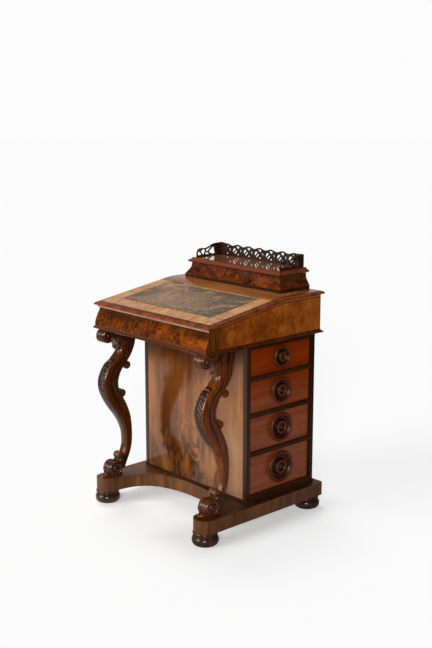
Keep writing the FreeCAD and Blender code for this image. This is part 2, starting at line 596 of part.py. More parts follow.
def gallery_side():
    x0 = GAL_X - GAL_T
    y1 = GAL_BACK - GAL_T
    parts = [box(x0, GAL_X, GAL_FRONT, y1, BLID_TOP, BLID_TOP + GAL_RAIL_H)]
    r = GAL_SIDE_H / 2.0
    band = GAL_BACK_H * 0.13
    zc = BLID_TOP + r - 0.6
    for k in range(0, 4):
        parts.append(ring_x(GAL_FRONT + r + k * 19.0, zc, r, r - band, x0, GAL_X))
    block = [(y1 - 26.0, BLID_TOP), (y1, BLID_TOP), (y1, BLID_TOP + GAL_BACK_H),
             (y1 - 12.0, BLID_TOP + GAL_BACK_H), (y1 - 26.0, BLID_TOP + GAL_SIDE_H)]
    parts.append(prism_x(block, x0, GAL_X))
    keep = box(x0, GAL_X, GAL_FRONT, y1, BLID_TOP, BLID_TOP + GAL_BACK_H + 1.0)
    return fused(parts).common(keep)


nodes["gallery_back"] = gallery_back()
gal_side = gallery_side()
nodes["gallery_right"] = gal_side
nodes["gallery_left"] = mirror_x(gal_side)

os.makedirs("parts", exist_ok=True)
for name in nodes:
    nodes[name].exportStep("parts/%s.step" % name)
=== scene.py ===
import math

import bmesh
import bpy
import numpy as np
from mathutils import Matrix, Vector


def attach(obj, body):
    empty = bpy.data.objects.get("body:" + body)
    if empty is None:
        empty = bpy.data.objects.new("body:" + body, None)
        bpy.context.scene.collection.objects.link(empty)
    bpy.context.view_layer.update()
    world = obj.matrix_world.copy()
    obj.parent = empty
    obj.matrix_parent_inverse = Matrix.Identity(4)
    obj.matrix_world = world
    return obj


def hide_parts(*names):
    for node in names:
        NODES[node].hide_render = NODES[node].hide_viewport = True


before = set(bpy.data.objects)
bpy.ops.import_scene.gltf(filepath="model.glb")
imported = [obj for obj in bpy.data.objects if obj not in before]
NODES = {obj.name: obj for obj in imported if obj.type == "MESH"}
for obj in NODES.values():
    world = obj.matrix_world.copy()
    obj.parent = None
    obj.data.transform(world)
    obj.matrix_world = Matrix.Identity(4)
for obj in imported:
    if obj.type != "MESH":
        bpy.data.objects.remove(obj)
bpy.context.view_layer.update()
scene = bpy.context.scene
MM = 0.001

# ---------------------------------------------------------------- camera, solved from the straight edges in the photo
cam_data = bpy.data.cameras.new("camera")
cam_data.sensor_fit = "VERTICAL"
cam_data.sensor_height = 36.0
cam_data.sensor_width = 24.0
cam_data.lens = 59.48
camera = bpy.data.objects.new("camera", cam_data)
camera.location = (2.5256, -2.2814, 1.3405)
camera.rotation_euler = (math.radians(77.97), 0.0, math.radians(47.375))
scene.collection.objects.link(camera)
scene.camera = camera


# ---------------------------------------------------------------- shader helpers
def node_sign(op, swapped=False):
    """An operator of Value, which makes one Math node."""
    if swapped:
        return lambda self, other: self.home.math(op, other, self)
    return lambda self, *other: self.home.math(op, self, *other)


class Value:
    """What a node gives out. Values are added and multiplied with plain signs, and each sign makes one Math node."""

    def __init__(self, home, socket):
        self.home, self.socket = home, socket

    __add__, __radd__ = node_sign("ADD"), node_sign("ADD", True)
    __sub__, __rsub__ = node_sign("SUBTRACT"), node_sign("SUBTRACT", True)
    __mul__, __truediv__ = node_sign("MULTIPLY"), node_sign("DIVIDE")
    __abs__ = node_sign("ABSOLUTE")


class Nodes:
    """A node tree, with short calls for the nodes that the finishes and the world use."""

    def __init__(self, tree):
        self.tree = tree
        tree.nodes.clear()

    def new(self, kind, **props):
        node = self.tree.nodes.new(kind)
        for k, v in props.items():
            setattr(node, k, v)
        return node

    def feed(self, socket, value):
        if isinstance(value, Value):
            self.tree.links.new(value.socket, socket)
        elif socket.type == "RGBA" and len(value) == 3:
            socket.default_value = (*value, 1)
        else:
            socket.default_value = value

    def node(self, kind, feeds, out=0, **props):
        """Makes a node, feeds its inputs by name or number, and gives the named output, or a list for several."""
        node = self.new(kind, **props)
        for k, v in feeds.items():
            self.feed(node.inputs[k], v)
        if isinstance(out, tuple):
            return [Value(self, node.outputs[k]) for k in out]
        return Value(self, node.outputs[out])

    def scaled(self, vec, scale, rot=(0, 0, 0), loc=(0, 0, 0)):
        return self.node("ShaderNodeMapping", {"Vector": vec, "Scale": scale, "Rotation": rot, "Location": loc})

    def noise(self, vec, scale, detail=4, rough=0.5, dist=0, colour=False):
        feeds = {"Vector": vec, "Scale": scale, "Detail": detail, "Roughness": rough, "Distortion": dist}
        return self.node("ShaderNodeTexNoise", feeds, "Color" if colour else "Fac")

    def fibres(self, vec, scale, detail, rough, dist=0):
        """Noise with a scale of its own for each axis: the lower the scale, the longer it is drawn along that axis."""
        return self.noise(self.scaled(vec, scale), 1, detail, rough, dist)

    def voronoi(self, vec, scale, feature="F1"):
        return self.node("ShaderNodeTexVoronoi", {"Vector": vec, "Scale": scale}, "Distance", feature=feature)

    def ramp(self, fac, stops):
        n = self.new("ShaderNodeValToRGB")
        e = n.color_ramp.elements
        while len(e) > 1:
            e.remove(e[0])
        for k, (pos, col) in enumerate(stops):
            s = e[0] if k == 0 else e.new(pos)
            s.position = pos
            s.color = (*col, 1)
        self.feed(n.inputs[0], fac)
        return Value(self, n.outputs[0])

    def tones(self, x, lo, hi, colours):
        """Runs evenly through the colours, dark to light, while x goes from lo to hi."""
        return self.ramp(self.span(x, lo, hi), [(k / (len(colours) - 1), c) for k, c in enumerate(colours)])

    def math(self, op, *values):
        return self.node("ShaderNodeMath", dict(enumerate(values)), operation=op)

    def max(self, a, b):
        return self.math("MAXIMUM", a, b)

    def min(self, a, b):
        return self.math("MINIMUM", a, b)

    def vmath(self, op, a, b):
        return self.node("ShaderNodeVectorMath", {0: a, 1: b}, operation=op)

    def shifted(self, vec, warp, far):
        """Moves the places vec by the vectors warp times far."""
        return self.vmath("ADD", vec, self.node("ShaderNodeVectorMath", {0: warp, "Scale": far}, operation="SCALE"))

    def span(self, x, lo, hi, a=0, b=1, **props):
        """Goes from a to b while x goes from lo to hi."""
        return self.node("ShaderNodeMapRange", dict(enumerate((x, lo, hi, a, b))), **props)

    def step(self, x, lo, hi, a=0, b=1):
        """As span, but eased at both ends."""
        return self.span(x, lo, hi, a, b, interpolation_type="SMOOTHSTEP")

    def mix(self, fac, a, b):
        """Mixes two colours."""
        return self.node("ShaderNodeMix", {0: fac, 6: a, 7: b}, 2, data_type="RGBA")

    def blend(self, fac, a, b):
        """Mixes two numbers."""
        return self.node("ShaderNodeMix", {0: fac, 2: a, 3: b}, data_type="FLOAT")

    def xyz(self, vec):
        return self.node("ShaderNodeSeparateXYZ", {0: vec}, (0, 1, 2))

    def rays(self):
        """Whether the ray comes from the camera, and whether it has been mirrored or has gone through something."""
        names = ("Is Camera Ray", "Is Glossy Ray", "Is Transmission Ray")
        from_camera, glossy, through = self.node("ShaderNodeLightPath", {}, names)
        return from_camera, self.max(glossy, through)


class Mat(Nodes):
    """A node material."""

    def __init__(self, name):
        self.mat = bpy.data.materials.new(name)
        self.mat.use_nodes = True
        super().__init__(self.mat.node_tree)
        self.out = self.new("ShaderNodeOutputMaterial")
        self.bsdf = self.new("ShaderNodeBsdfPrincipled")
        self.tree.links.new(self.bsdf.outputs[0], self.out.inputs[0])
        self.place = self.node("ShaderNodeTexCoord", {}, "Object")

    def set(self, **values):
        """Feeds the shader's sockets; an underscore stands for a space in their names."""
        for name, v in values.items():
            self.feed(self.bsdf.inputs[name.replace("_", " ")], v)

    def bump(self, height, strength=1, distance=1):
        self.set(Normal=self.node("ShaderNodeBump", {"Strength": strength, "Distance": distance, "Height": height}))

    def normal_axis(self):
        """The face's own direction in its body's frame, so that an opened lid keeps its figure."""
        normal = self.node("ShaderNodeNewGeometry", {}, "True Normal")
        return self.xyz(self.node("ShaderNodeVectorTransform", {0: normal}, vector_type="NORMAL",
                                 convert_from="WORLD", convert_to="OBJECT"))


def darker(tones, k):
    """The darkest tone, times k."""
    return tuple(c * k for c in tones[0])


def along_grain(axis, across, along):
    return tuple(along if a == axis else across for a in "XYZ")


def wood(name, tones, axis, streak, along, wander, broad, patch, seed, rough=(0.16, 0.3), level=0.5, coat=0,
         extra=None, bow=None):
    """Straight-grained polished wood: figure from stretched noise, fine dark pores, slow patches of tone and a polish
    that varies. tones run from dark to light. streak and along are the scales of the figure across and along the
    grain, wander is how far it strays (metres), broad the share of its wide part and patch the strength of the
    patches. extra(m, colour, q) may add a figure at the warped places q, and bow(m) a slow warp of the surface."""
    m = Mat(name)
    p = m.scaled(m.place, (1, 1, 1), loc=(seed, seed * 1.7, seed * 0.6))
    warp = m.vmath("SUBTRACT", m.noise(p, 7, 2, 0.5, colour=True), (0.5, 0.5, 0.5))
    q = m.shifted(p, warp, wander)
    fine = m.fibres(q, along_grain(axis, streak, along), 6, 0.62)
    wide = m.fibres(q, along_grain(axis, streak * 0.2, along * 0.55), 3, 0.5)
    colour = m.tones(fine * (1 - broad) + wide * broad, 0.34, 0.66, tones)
    cloud = m.noise(p, 9, 3, 0.55)
    colour = m.mix(m.span(cloud, 0.35, 0.7, 0, patch), colour, darker(tones, 0.42))
    pore = m.step(m.fibres(q, along_grain(axis, 1500, 55), 2, 0.6), 0.56, 0.72)
    colour = m.mix(pore * 0.35, colour, darker(tones, 0.25))
    if extra:
        colour = extra(m, colour, q)
    rub = m.noise(p, 26, 4, 0.6)
    m.set(Base_Color=colour, Roughness=m.span(rub, 0.3, 0.7, *rough), Specular_IOR_Level=level, Coat_Weight=coat,
          Coat_Roughness=0.08)
    height = wide * 0.00005 - pore * 0.000004
    m.bump(height + bow(m) if bow else height)
    return m.mat


def burr(name, tones, scale, seed, level, eye, streaks, sharp, clouds=None, weight=0.45, end_grain=None, extra=None):
    """Burr veneer: swirling mottled figure with small dark eyes, and streaks of fine upright grain. end_grain holds
    the tones of the faces square to X."""
    m = Mat(name)
    p = m.scaled(m.place, (1, 1, 1), loc=(seed, seed * 0.7, seed * 1.3))
    warp = m.vmath("SUBTRACT", m.noise(p, scale * 0.55, 3, 0.6, colour=True), (0.5, 0.5, 0.5))
    q = m.shifted(p, warp, 0.035)
    base = m.noise(q, scale, 8, 0.66, 0.8)
    cloud = m.noise(m.scaled(p, (1, 1, 1.6)), clouds or scale * 0.36, 3, 0.5, 0.4)
    fig = m.blend(weight, base, cloud)
    fig = m.blend(streaks, fig, m.fibres(q, (210, 210, 24), 4, 0.6))
    colour = m.tones(fig, 0.505 - sharp, 0.505 + sharp, tones)
    eyes = m.voronoi(m.shifted(p, warp, 0.012), scale * 7)
    eyes = m.step(eyes, 0.3, 0.05) * m.step(cloud, 0.42, 0.6)
    colour = m.mix(eyes * eye, colour, darker(tones, 0.3))
    fleck = m.step(m.noise(q, scale * 12, 2, 0.6), 0.58, 0.7)
    colour = m.mix(fleck * 0.3, colour, darker(tones, 0.3))
    if end_grain:
        nx, _, _ = m.normal_axis()
        lines = m.fibres(p, (300, 300, 9), 4, 0.6)
        colour = m.mix(m.step(abs(nx), 0.8, 0.95), colour, m.tones(lines, 0.38, 0.62, end_grain))
    if extra:
        colour = extra(m, colour, p)
    rub = m.noise(p, 30, 4, 0.6)
    m.set(Base_Color=colour, Roughness=m.span(rub, 0.3, 0.7, 0.14, 0.28), Specular_IOR_Level=level)
    m.bump(cloud * 0.00006 - fleck * 0.000004)
    return m.mat


# ---------------------------------------------------------------- finishes
# the leather reaches LEATHER_HALF to each side and from y = -LEATHER_FRONT to LEATHER_BACK; BAND lies round it (metres)
LEATHER_HALF, LEATHER_FRONT, LEATHER_BACK, BAND = 0.213, 0.1745, 0.024, 0.05
# underside of the top: its height at y = 0, its rise along y, and the y where it turns level
SLOPE_Z, SLOPE_RISE, SLOPE_END = 0.70837, 0.1555, 0.078
# where the waist of the dark tongue in the knee panel lies; the tongue is partly figure and partly a painted reflection
# of the left support
FLAME_X, FLAME_Z = -0.142, 0.28


def figure_and_painted_light(m, colour, q):
    """The knee panel's figure and painted light: a broad darker tongue with ragged feathered edges, spreading to the
    bottom, partly crotch figure and partly a painted reflection of the left support; painted shade from the case along
    the top;
    a painted sheen at the left edge; and lighter low on the right."""
    x, _, z = m.xyz(q)
    sway = (m.fibres(q, (9, 9, 5), 4, 0.6) - 0.5) * 0.045
    rise = z - FLAME_Z
    bend = rise * rise
    off = x - (bend * 3.6 + FLAME_X) + sway
    half = bend * 2.2 + 0.03
    tongue_and_reflection = m.step(abs(off) / half, 1.5, 0.3)
    streaks = m.span(m.fibres(q, (150, 150, 6), 5, 0.6), 0.3, 0.6, 0.55, 1)
    # painted reflection: the dark tongue lies where the polish mirrors the left support, over the crotch figure
    colour = m.mix(tongue_and_reflection * streaks * 0.78, colour, (0.105, 0.022, 0.002))
    swirl = m.fibres(q, (16, 16, 9), 5, 0.6, 1.2)
    # painted sheen: lighter towards the left edge
    pale_highlight = m.step(x, -0.165, -0.205) * m.step(z, 0.16, 0.22)
    colour = m.mix(pale_highlight * 0.45, colour, (0.62, 0.25, 0.07))
    low = m.step(z, 0.38, 0.16) * m.step(swirl, 0.44, 0.58) * m.step(abs(x + 0.03), 0.19, 0.11, 0.45, 1)
    colour = m.mix(low * 0.92, colour, (0.028, 0.01, 0.003))
    colour = m.mix(m.step(z, 0.26, 0.1, 0, 0.35), colour, (0.06, 0.024, 0.01))
    # painted shade from the case over the top of the panel
    case_shade = m.step(z - x * 0.15, 0.465, 0.55, 0, 0.78)
    colour = m.mix(case_shade, colour, (0.075, 0.016, 0.002))
    # lighter low on the right
    lighter_low_right = m.step(x, 0.11, 0.17) * m.step(z, 0.36, 0.24)
    colour = m.mix(lighter_low_right * 0.28, colour, (0.56, 0.33, 0.18))
    warm = m.step(z, 0.34, 0.16) * m.step(swirl, 0.44, 0.34)
    return m.mix(warm * 0.35, colour, (0.34, 0.12, 0.018))


def bowed(m):
    """The slight warp of the old knee panel, in metres of height; it bends what the polish mirrors."""
    x, _, _ = m.xyz(m.place)
    slow = m.fibres(m.place, (5, 5, 3), 1, 0.5)
    return m.min(x + 0.03, 0) * -0.042 + slow * 0.0016


def moulded_edge(m, rim, q):
    """The edge round the top: dark on its slope and red on its nose."""
    grain = m.fibres(q, (40, 40, 40), 4, 0.6)
    nose = m.tones(grain, 0.35, 0.65, ((0.13, 0.02, 0.003), (0.3, 0.06, 0.01)))
    slope = m.tones(grain, 0.35, 0.65, ((0.06, 0.013, 0.002), (0.19, 0.045, 0.006)))
    return m.mix(m.step(rim, 0.0115, 0.0135), slope, nose)


def ledge_tone(m, colour, q):
    """Ledge: the moulded edge of the lid runs on along its ends."""
    x, _, _ = m.xyz(m.place)
    rim = abs(x) - (LEATHER_HALF + BAND)
    return m.mix(m.step(rim, 0, 0.001, 0, 0.9), colour, moulded_edge(m, rim, q))


def crossband(m, colour, q):
    """Lid: a band of lighter veneer laid across the edge and mitred at the corners, a dark line beside it, a painted
    highlight line along its outer edge, a moulded edge round it and a plain underside."""
    x, y, _ = m.xyz(m.place)
    side = abs(x) - LEATHER_HALF
    front = -LEATHER_FRONT - y
    along_x = m.math("GREATER_THAN", side, front)
    lines_x = m.fibres(q, (7, 190, 190), 6, 0.68)
    lines_y = m.fibres(q, (190, 7, 190), 6, 0.68)
    lines = m.blend(along_x, lines_y, lines_x)
    slow = m.fibres(q, (14, 14, 14), 3, 0.5)
    band = m.tones(lines * 0.72 + slow * 0.28, 0.4, 0.6, ((0.4, 0.16, 0.05), (0.61, 0.285, 0.1), (0.82, 0.46, 0.2)))
    inside = m.max(side, front)
    edge = m.step(abs(inside - 0.0015), 0.0016, 0.0006)
    rim = inside - BAND
    colour = moulded_edge(m, rim, q)
    # painted highlight: a light line along the outer edge of the band
    line = m.step(rim, 0.0022, 0.0016) * m.step(rim, 0, 0.0006)
    colour = m.mix(m.step(rim, 0, 0.001), band, colour)
    colour = m.mix(line * 0.8, colour, (0.55, 0.32, 0.13))
    colour = m.mix(edge * 0.6, colour, (0.03, 0.014, 0.006))
    _, _, nz = m.normal_axis()
    plain = m.tones(lines_x, 0.38, 0.62, ((0.075, 0.022, 0.004), (0.175, 0.06, 0.013)))
    return m.mix(m.step(nz, -0.5, -0.8), colour, plain)


def top_shade_and_sheen(m, colour, q):
    """Platform: painted shade darkens the upper face, most of all on the right arm; a painted sheen lightens the left
    arm.
    """
    _, _, nz = m.normal_axis()
    x, _, _ = m.xyz(m.place)
    # painted shade on the upper face, most of all on the right arm
    top_shade = m.fibres(q, (22, 22, 22), 4, 0.6)
    top_shade = m.span(top_shade, 0.35, 0.65, 0.45, 0.9) * m.step(x, -0.15, 0.15, 0.2, 1)
    colour = m.mix(m.step(nz, 0.6, 0.9) * top_shade, colour, (0.022, 0.009, 0.003))
    # painted sheen on the upper face of the left arm
    wear_and_sheen = m.step(nz, 0.6, 0.9) * m.step(x, -0.1, -0.26, 0, 0.22)
    return m.mix(wear_and_sheen, colour, (0.3, 0.115, 0.05))


def tan_top(m, colour, q):
    """Box lid: the flat top has faded to a browner tan than its moulded edge."""
    _, _, nz = m.normal_axis()
    x, y, _ = m.xyz(m.place)
    faded = m.step(nz, 0.9, 0.97) * (m.step(abs(x), 0.206, 0.198) * m.step(y, 0.126, 0.134))
    slow = m.fibres(q, (8, 40, 40), 4, 0.6)
    tan = m.tones(slow, 0.38, 0.62, ((0.17, 0.05, 0.013), (0.38, 0.145, 0.05)))
    return m.mix(faded, colour, tan)


def low_fronts_sheen(m, colour, q):
    """Drawer fronts: the top one keeps its red; on the others a painted sheen, for the floor their polish mirrors,
    turns them a duller pinkish brown.
    """
    _, _, z = m.xyz(m.place)
    streaks = m.fibres(q, (90, 5, 90), 5, 0.6)
    # painted sheen: the lower fronts are mixed towards a duller pinkish brown for the floor they mirror
    sheen_tone = m.tones(streaks, 0.36, 0.64, ((0.2, 0.04, 0.009), (0.31, 0.074, 0.02)))
    return m.mix(m.step(z, 0.5, 0.4, 0, 0.85), colour, sheen_tone)


def rear_dark(m, colour, q):
    """Stiles: the rear ones are almost black."""
    _, y, _ = m.xyz(m.place)
    return m.mix(m.step(y, 0.1, 0.2, 0, 0.65), colour, (0.006, 0.003, 0.002))


def case_tone(m, colour, q):
    """Case side: redder in the middle, olive gold to the back, a dark front corner, and under the top a lighter line
    with a painted shadow line below it."""
    _, y, z = m.xyz(m.place)
    drift = y + m.span(m.fibres(q, (6, 6, 4), 2, 0.5), 0.3, 0.7, -0.09, 0.09)
    red = m.step(drift, -0.12, 0) * m.step(drift, 0.14, 0.04)
    colour = m.mix(red * 0.35, colour, (0.15, 0.03, 0.002))
    colour = m.mix(m.step(drift, 0.06, 0.22, 0, 0.42), colour, (0.32, 0.095, 0.016))
    colour = m.mix(m.step(drift, -0.13, -0.19) * 0.62, colour, (0.075, 0.018, 0.002))
    under = SLOPE_Z + m.min(y, SLOPE_END) * SLOPE_RISE - z
    # painted shadow line below the lighter line
    groove = m.step(under, 0.0105, 0.009) * m.step(under, 0.006, 0.0072)
    colour = m.mix(groove * 0.72, colour, (0.03, 0.008, 0.002))
    line = m.step(under, 0.0068, 0.0056) * m.step(under, 0.0008, 0.0016)
    return m.mix(line * 0.7, colour, (0.4, 0.145, 0.055))


def frieze_tone(m, colour, q):
    """Frieze: a bright patch towards the right end, painted shade under the lid along the top, and the bead above the
    hollow, light in colour and partly a painted highlight.
    """
    x, _, z = m.xyz(m.place)
    cloud = m.fibres(q, (16, 16, 30), 3, 0.5)
    nx, _, nz = m.normal_axis()
    face = m.step(abs(nx), 0.85, 0.6) * m.step(nz, 0.92, 0.8)
    glow = m.step(x, 0.15, 0.23) * (m.step(z, 0.65, 0.63) * face) * m.step(cloud, 0.4, 0.56)
    colour = m.mix(glow * 0.7, colour, (0.37, 0.078, 0.004))
    # painted shade under the lid along the top of the frieze
    lid_shade = m.step(z, 0.628, 0.652) * (m.span(cloud, 0.6, 0.4, 0.35, 1) * face)
    colour = m.mix(lid_shade * 0.62, colour, (0.026, 0.008, 0.002))
    # the bead's light colour is partly a painted highlight
    worn = m.fibres(q, (24, 300, 300), 4, 0.6)
    pale_highlight = m.tones(worn, 0.35, 0.65, ((0.29, 0.165, 0.095), (0.6, 0.41, 0.27)))
    return m.mix(m.step(z, 0.6624, 0.6634) * face, colour, pale_highlight)


CASE = burr("case_walnut", [(0.112, 0.02, 0.001), (0.245, 0.05, 0.003), (0.38, 0.091, 0.007), (0.54, 0.156, 0.016)],
            scale=30, seed=1, level=0.2, eye=0.2, streaks=0.24, sharp=0.12, extra=case_tone)
LEDGE = wood("ledge_walnut", [(0.15, 0.037, 0.006), (0.33, 0.105, 0.023), (0.5, 0.19, 0.054)], "X", 70, 3,
             0.01, 0.45, 0.25, level=0.4, seed=2, extra=ledge_tone)
LID = wood("lid_walnut", [(0.12, 0.026, 0.005), (0.24, 0.06, 0.012), (0.34, 0.1, 0.025)], "X", 80, 3,
           0.008, 0.4, 0.2, level=0.4, seed=3, extra=crossband)
MOULD = wood("moulding_wood", [(0.04, 0.009, 0.001), (0.105, 0.023, 0.003), (0.18, 0.044, 0.007)], "X", 90, 3,
             0.006, 0.4, 0.3, seed=4, rough=(0.08, 0.16))
PLINTH = wood("box_plinth_wood", [(0.014, 0.004, 0.001), (0.045, 0.011, 0.002), (0.1, 0.024, 0.004)], "X", 90, 3,
              0.006, 0.4, 0.3, level=0.35, seed=4.5, rough=(0.1, 0.2))
FRIEZE = burr("frieze_burr", [(0.016, 0.004, 0.001), (0.066, 0.014, 0.001), (0.15, 0.03, 0.002),
                              (0.29, 0.066, 0.003)], scale=72, seed=0.3, level=0.1, eye=0.15, streaks=0.42,
              sharp=0.085, clouds=12, weight=0.55, end_grain=((0.04, 0.011, 0.001), (0.175, 0.048, 0.004)),
              extra=frieze_tone)
BOXBURR = burr("box_burr", [(0.014, 0.003, 0.001), (0.065, 0.012, 0.002), (0.145, 0.03, 0.004), (0.26, 0.062, 0.008)],
               scale=95, seed=4.1, level=0.2, end_grain=((0.032, 0.01, 0.003), (0.125, 0.044, 0.014)), eye=0.4,
               streaks=0.12, sharp=0.11, clouds=16, weight=0.35)
BOXLID = wood("box_lid_wood", [(0.11, 0.02, 0.003), (0.22, 0.044, 0.006), (0.34, 0.075, 0.012)], "X", 80, 3,
              0.008, 0.45, 0.3, level=0.6, coat=0.8, seed=5, rough=(0.05, 0.09), extra=tan_top)
PANEL = wood("panel_walnut", [(0.145, 0.043, 0.009), (0.29, 0.1, 0.024), (0.45, 0.176, 0.05)], "Z", 70, 3.5,
             0.03, 0.55, 0.35, seed=0, rough=(0.08, 0.14), level=0.5, extra=figure_and_painted_light, bow=bowed)
DRAWER = wood("drawer_mahogany", [(0.17, 0.018, 0.001), (0.265, 0.033, 0.001), (0.36, 0.058, 0.003)], "Y", 60, 4,
              0.012, 0.5, 0.25, seed=7, level=0.5, rough=(0.07, 0.12), extra=low_fronts_sheen)
DARK = wood("dark_frame", [(0.018, 0.006, 0.002), (0.045, 0.014, 0.004), (0.08, 0.026, 0.007)], "Z", 90, 4,
            0.006, 0.4, 0.3, level=0.35, seed=8, extra=rear_dark)
RAIL = wood("rail_wood", [(0.02, 0.006, 0.002), (0.048, 0.014, 0.004), (0.08, 0.025, 0.008)], "Y", 90, 4,
            0.006, 0.4, 0.3, level=0.18, seed=8.5, rough=(0.25, 0.38))
BASE = wood("base_walnut", [(0.057, 0.019, 0.005), (0.148, 0.05, 0.012), (0.25, 0.095, 0.026)], "Z", 170, 6,
            0.01, 0.45, 0.5, level=0.3, seed=9, rough=(0.32, 0.44), extra=top_shade_and_sheen)
FOOT = wood("foot_wood", [(0.012, 0.005, 0.002), (0.04, 0.015, 0.005), (0.085, 0.036, 0.013)], "Z", 90, 5,
            0.006, 0.4, 0.3, seed=11, level=0.35, rough=(0.18, 0.28))
LINING = wood("drawer_lining", [(0.36, 0.24, 0.13), (0.48, 0.34, 0.2), (0.58, 0.44, 0.28)], "X", 60, 3,
              0.01, 0.5, 0.2, rough=(0.5, 0.7), level=0.3, seed=12)
FRET = wood("gallery_wood", [(0.016, 0.006, 0.003), (0.035, 0.013, 0.006), (0.06, 0.024, 0.011)], "X", 120, 6,
            0.005, 0.4, 0.3, level=0.35, seed=13)


def carved(name, tones, dark, worn, rough, level, seed, left_shade=0):
    """Polished carved wood: wax and dirt dark in the hollows, lighter on the ridges from wear and a painted highlight.
    The left one of a pair gets painted shade, as strong as the last argument."""
    m = Mat(name)
    p = m.scaled(m.place, (1, 1, 1), loc=(seed, seed, seed))
    fine = m.fibres(p, (110, 110, 9), 5, 0.6)
    colour = m.tones(fine, 0.32, 0.68, tones)
    cloud = m.noise(p, 14, 3, 0.55)
    colour = m.mix(m.span(cloud, 0.35, 0.7, 0, 0.35), colour, darker(tones, 0.5))
    cav = m.node("ShaderNodeAttribute", {}, "Fac", attribute_name="cav")
    if left_shade:
        x, _, _ = m.xyz(m.place)
        # painted shade on the left one of a pair
        colour = m.mix(m.step(x, 0.05, -0.05, 0, left_shade), colour, darker(tones, 0.3))
    # ridges lighter from wear, and also painted as their highlight
    colour = m.mix(m.step(cav, -0.05, -0.8, 0, 0.65), colour, worn)
    colour = m.mix(m.step(cav, 0.03, 0.55), colour, dark)
    polish = m.span(m.noise(p, 40, 4, 0.6), 0.3, 0.7, *rough)
    m.set(Base_Color=colour, Roughness=polish + m.step(cav, 0.3, 1.2, 0, 0.25), Specular_IOR_Level=level)
    pore = m.step(m.fibres(p, (1400, 1400, 60), 2, 0.6), 0.56, 0.72)
    m.bump(fine * 0.00003 - pore * 0.000005)
    return m.mat


CARVED = carved("carved_mahogany", [(0.088, 0.017, 0.002), (0.15, 0.032, 0.004), (0.23, 0.057, 0.007)],
                (0.006, 0.003, 0.002), (0.3, 0.088, 0.014), rough=(0.19, 0.27), level=0.42, seed=20,
                left_shade=0.62)
KNOB = carved("knob_mahogany", [(0.038, 0.006, 0.001), (0.065, 0.011, 0.001), (0.1, 0.019, 0.003)],
              (0.003, 0.001, 0.001), (0.145, 0.034, 0.012), seed=30, rough=(0.32, 0.4), level=0.25)


def leather():
    """Old desk leather: mottled tan and green, scuffed to red, frayed at its edge, with two tooled lines and cracks."""
    m = Mat("desk_leather")
    p = m.place
    x, y, _ = m.xyz(p)
    big = m.noise(p, 13, 4, 0.6, 0.5)
    mid = m.noise(p, 70, 6, 0.75)
    fine = m.noise(m.scaled(p, (1, 1, 1), loc=(3.1, 1.7, 0)), 150, 4, 0.7)
    tone = big * 0.26 + (mid * 0.46 + fine * 0.46) - 0.09
    colour = m.ramp(m.span(tone, 0.41, 0.59), [(0, (0.08, 0.056, 0.03)), (0.35, (0.235, 0.138, 0.066)),
                                               (0.7, (0.36, 0.195, 0.095)), (1, (0.58, 0.34, 0.2))])
    edge = m.min(LEATHER_HALF - abs(x), m.min(y + LEATHER_FRONT, LEATHER_BACK - y))
    # red shows through where the surface is scuffed, mostly in the middle
    wear_and_sheen = m.step(fine + big * 0.6, 0.82, 0.94) * m.step(edge, 0.01, 0.06)
    colour = m.mix(wear_and_sheen * 0.6, colour, (0.42, 0.19, 0.14))
    # grey green patches to the corners, the right and the back
    away = m.max(m.step(abs(x + 0.03), 0.09, 0.21), m.step(y, -0.06, 0.02))
    green = away * m.step(big * 0.7 + mid * 0.3, 0.54, 0.44)
    colour = m.mix(green * 0.8, colour, (0.062, 0.064, 0.04))
    frayed = edge + (m.noise(p, 60, 4, 0.7) - 0.5) * 0.01
    colour = m.mix(m.step(frayed, 0.005, 0.0015, 0, 0.85), colour, (0.02, 0.016, 0.01))
    tool = m.step(m.min(abs(edge - 0.014), abs(edge - 0.0175)), 0.0009, 0.0003)
    colour = m.mix(tool * 0.45, colour, (0.035, 0.028, 0.018))
    crack = m.step(m.voronoi(p, 900, "DISTANCE_TO_EDGE"), 0.1, 0)
    colour = m.mix(crack * 0.25, colour, (0.05, 0.036, 0.025))
    scuff = m.step(m.noise(m.scaled(p, (60, 260, 260), (0, 0, 0.6)), 1, 4, 0.6), 0.6, 0.7)
    colour = m.mix(scuff * 0.35, colour, (0.36, 0.26, 0.19))
    m.set(Base_Color=colour, Roughness=m.span(mid, 0.3, 0.7, 0.36, 0.54), Specular_IOR_Level=0.45)
    m.bump(mid * 0.6 - (crack * 0.5 + tool), 0.5, 0.0004)
    return m.mat


def brass(name, clean=1):
    """Brass with tarnish; clean below 1 darkens it."""
    m = Mat(name)
    tarnish = m.noise(m.place, 120, 5, 0.65)
    stops = [(0, (0.24, 0.18, 0.06)), (0.6, (0.5, 0.41, 0.16)), (1, (0.7, 0.58, 0.27))]
    colour = m.ramp(m.span(tarnish, 0.32, 0.68), [(pos, tuple(c * clean for c in col)) for pos, col in stops])
    m.set(Base_Color=colour, Metallic=1, Roughness=m.span(tarnish, 0.3, 0.7, 0.3, 0.52))
    m.bump(m.fibres(m.place, (300, 1800, 300), 3, 0.6), 0.2, 0.0001)
    return m.mat


LEATHER = leather()
BRASS = brass("old_brass")
DULL_BRASS = brass("tarnished_brass", 0.35)


# ---------------------------------------------------------------- CAD nodes that stay: finish, soft arrises
SMOOTH_BELOW, ROUND_ABOVE = 32, 35  # angle between faces, degrees


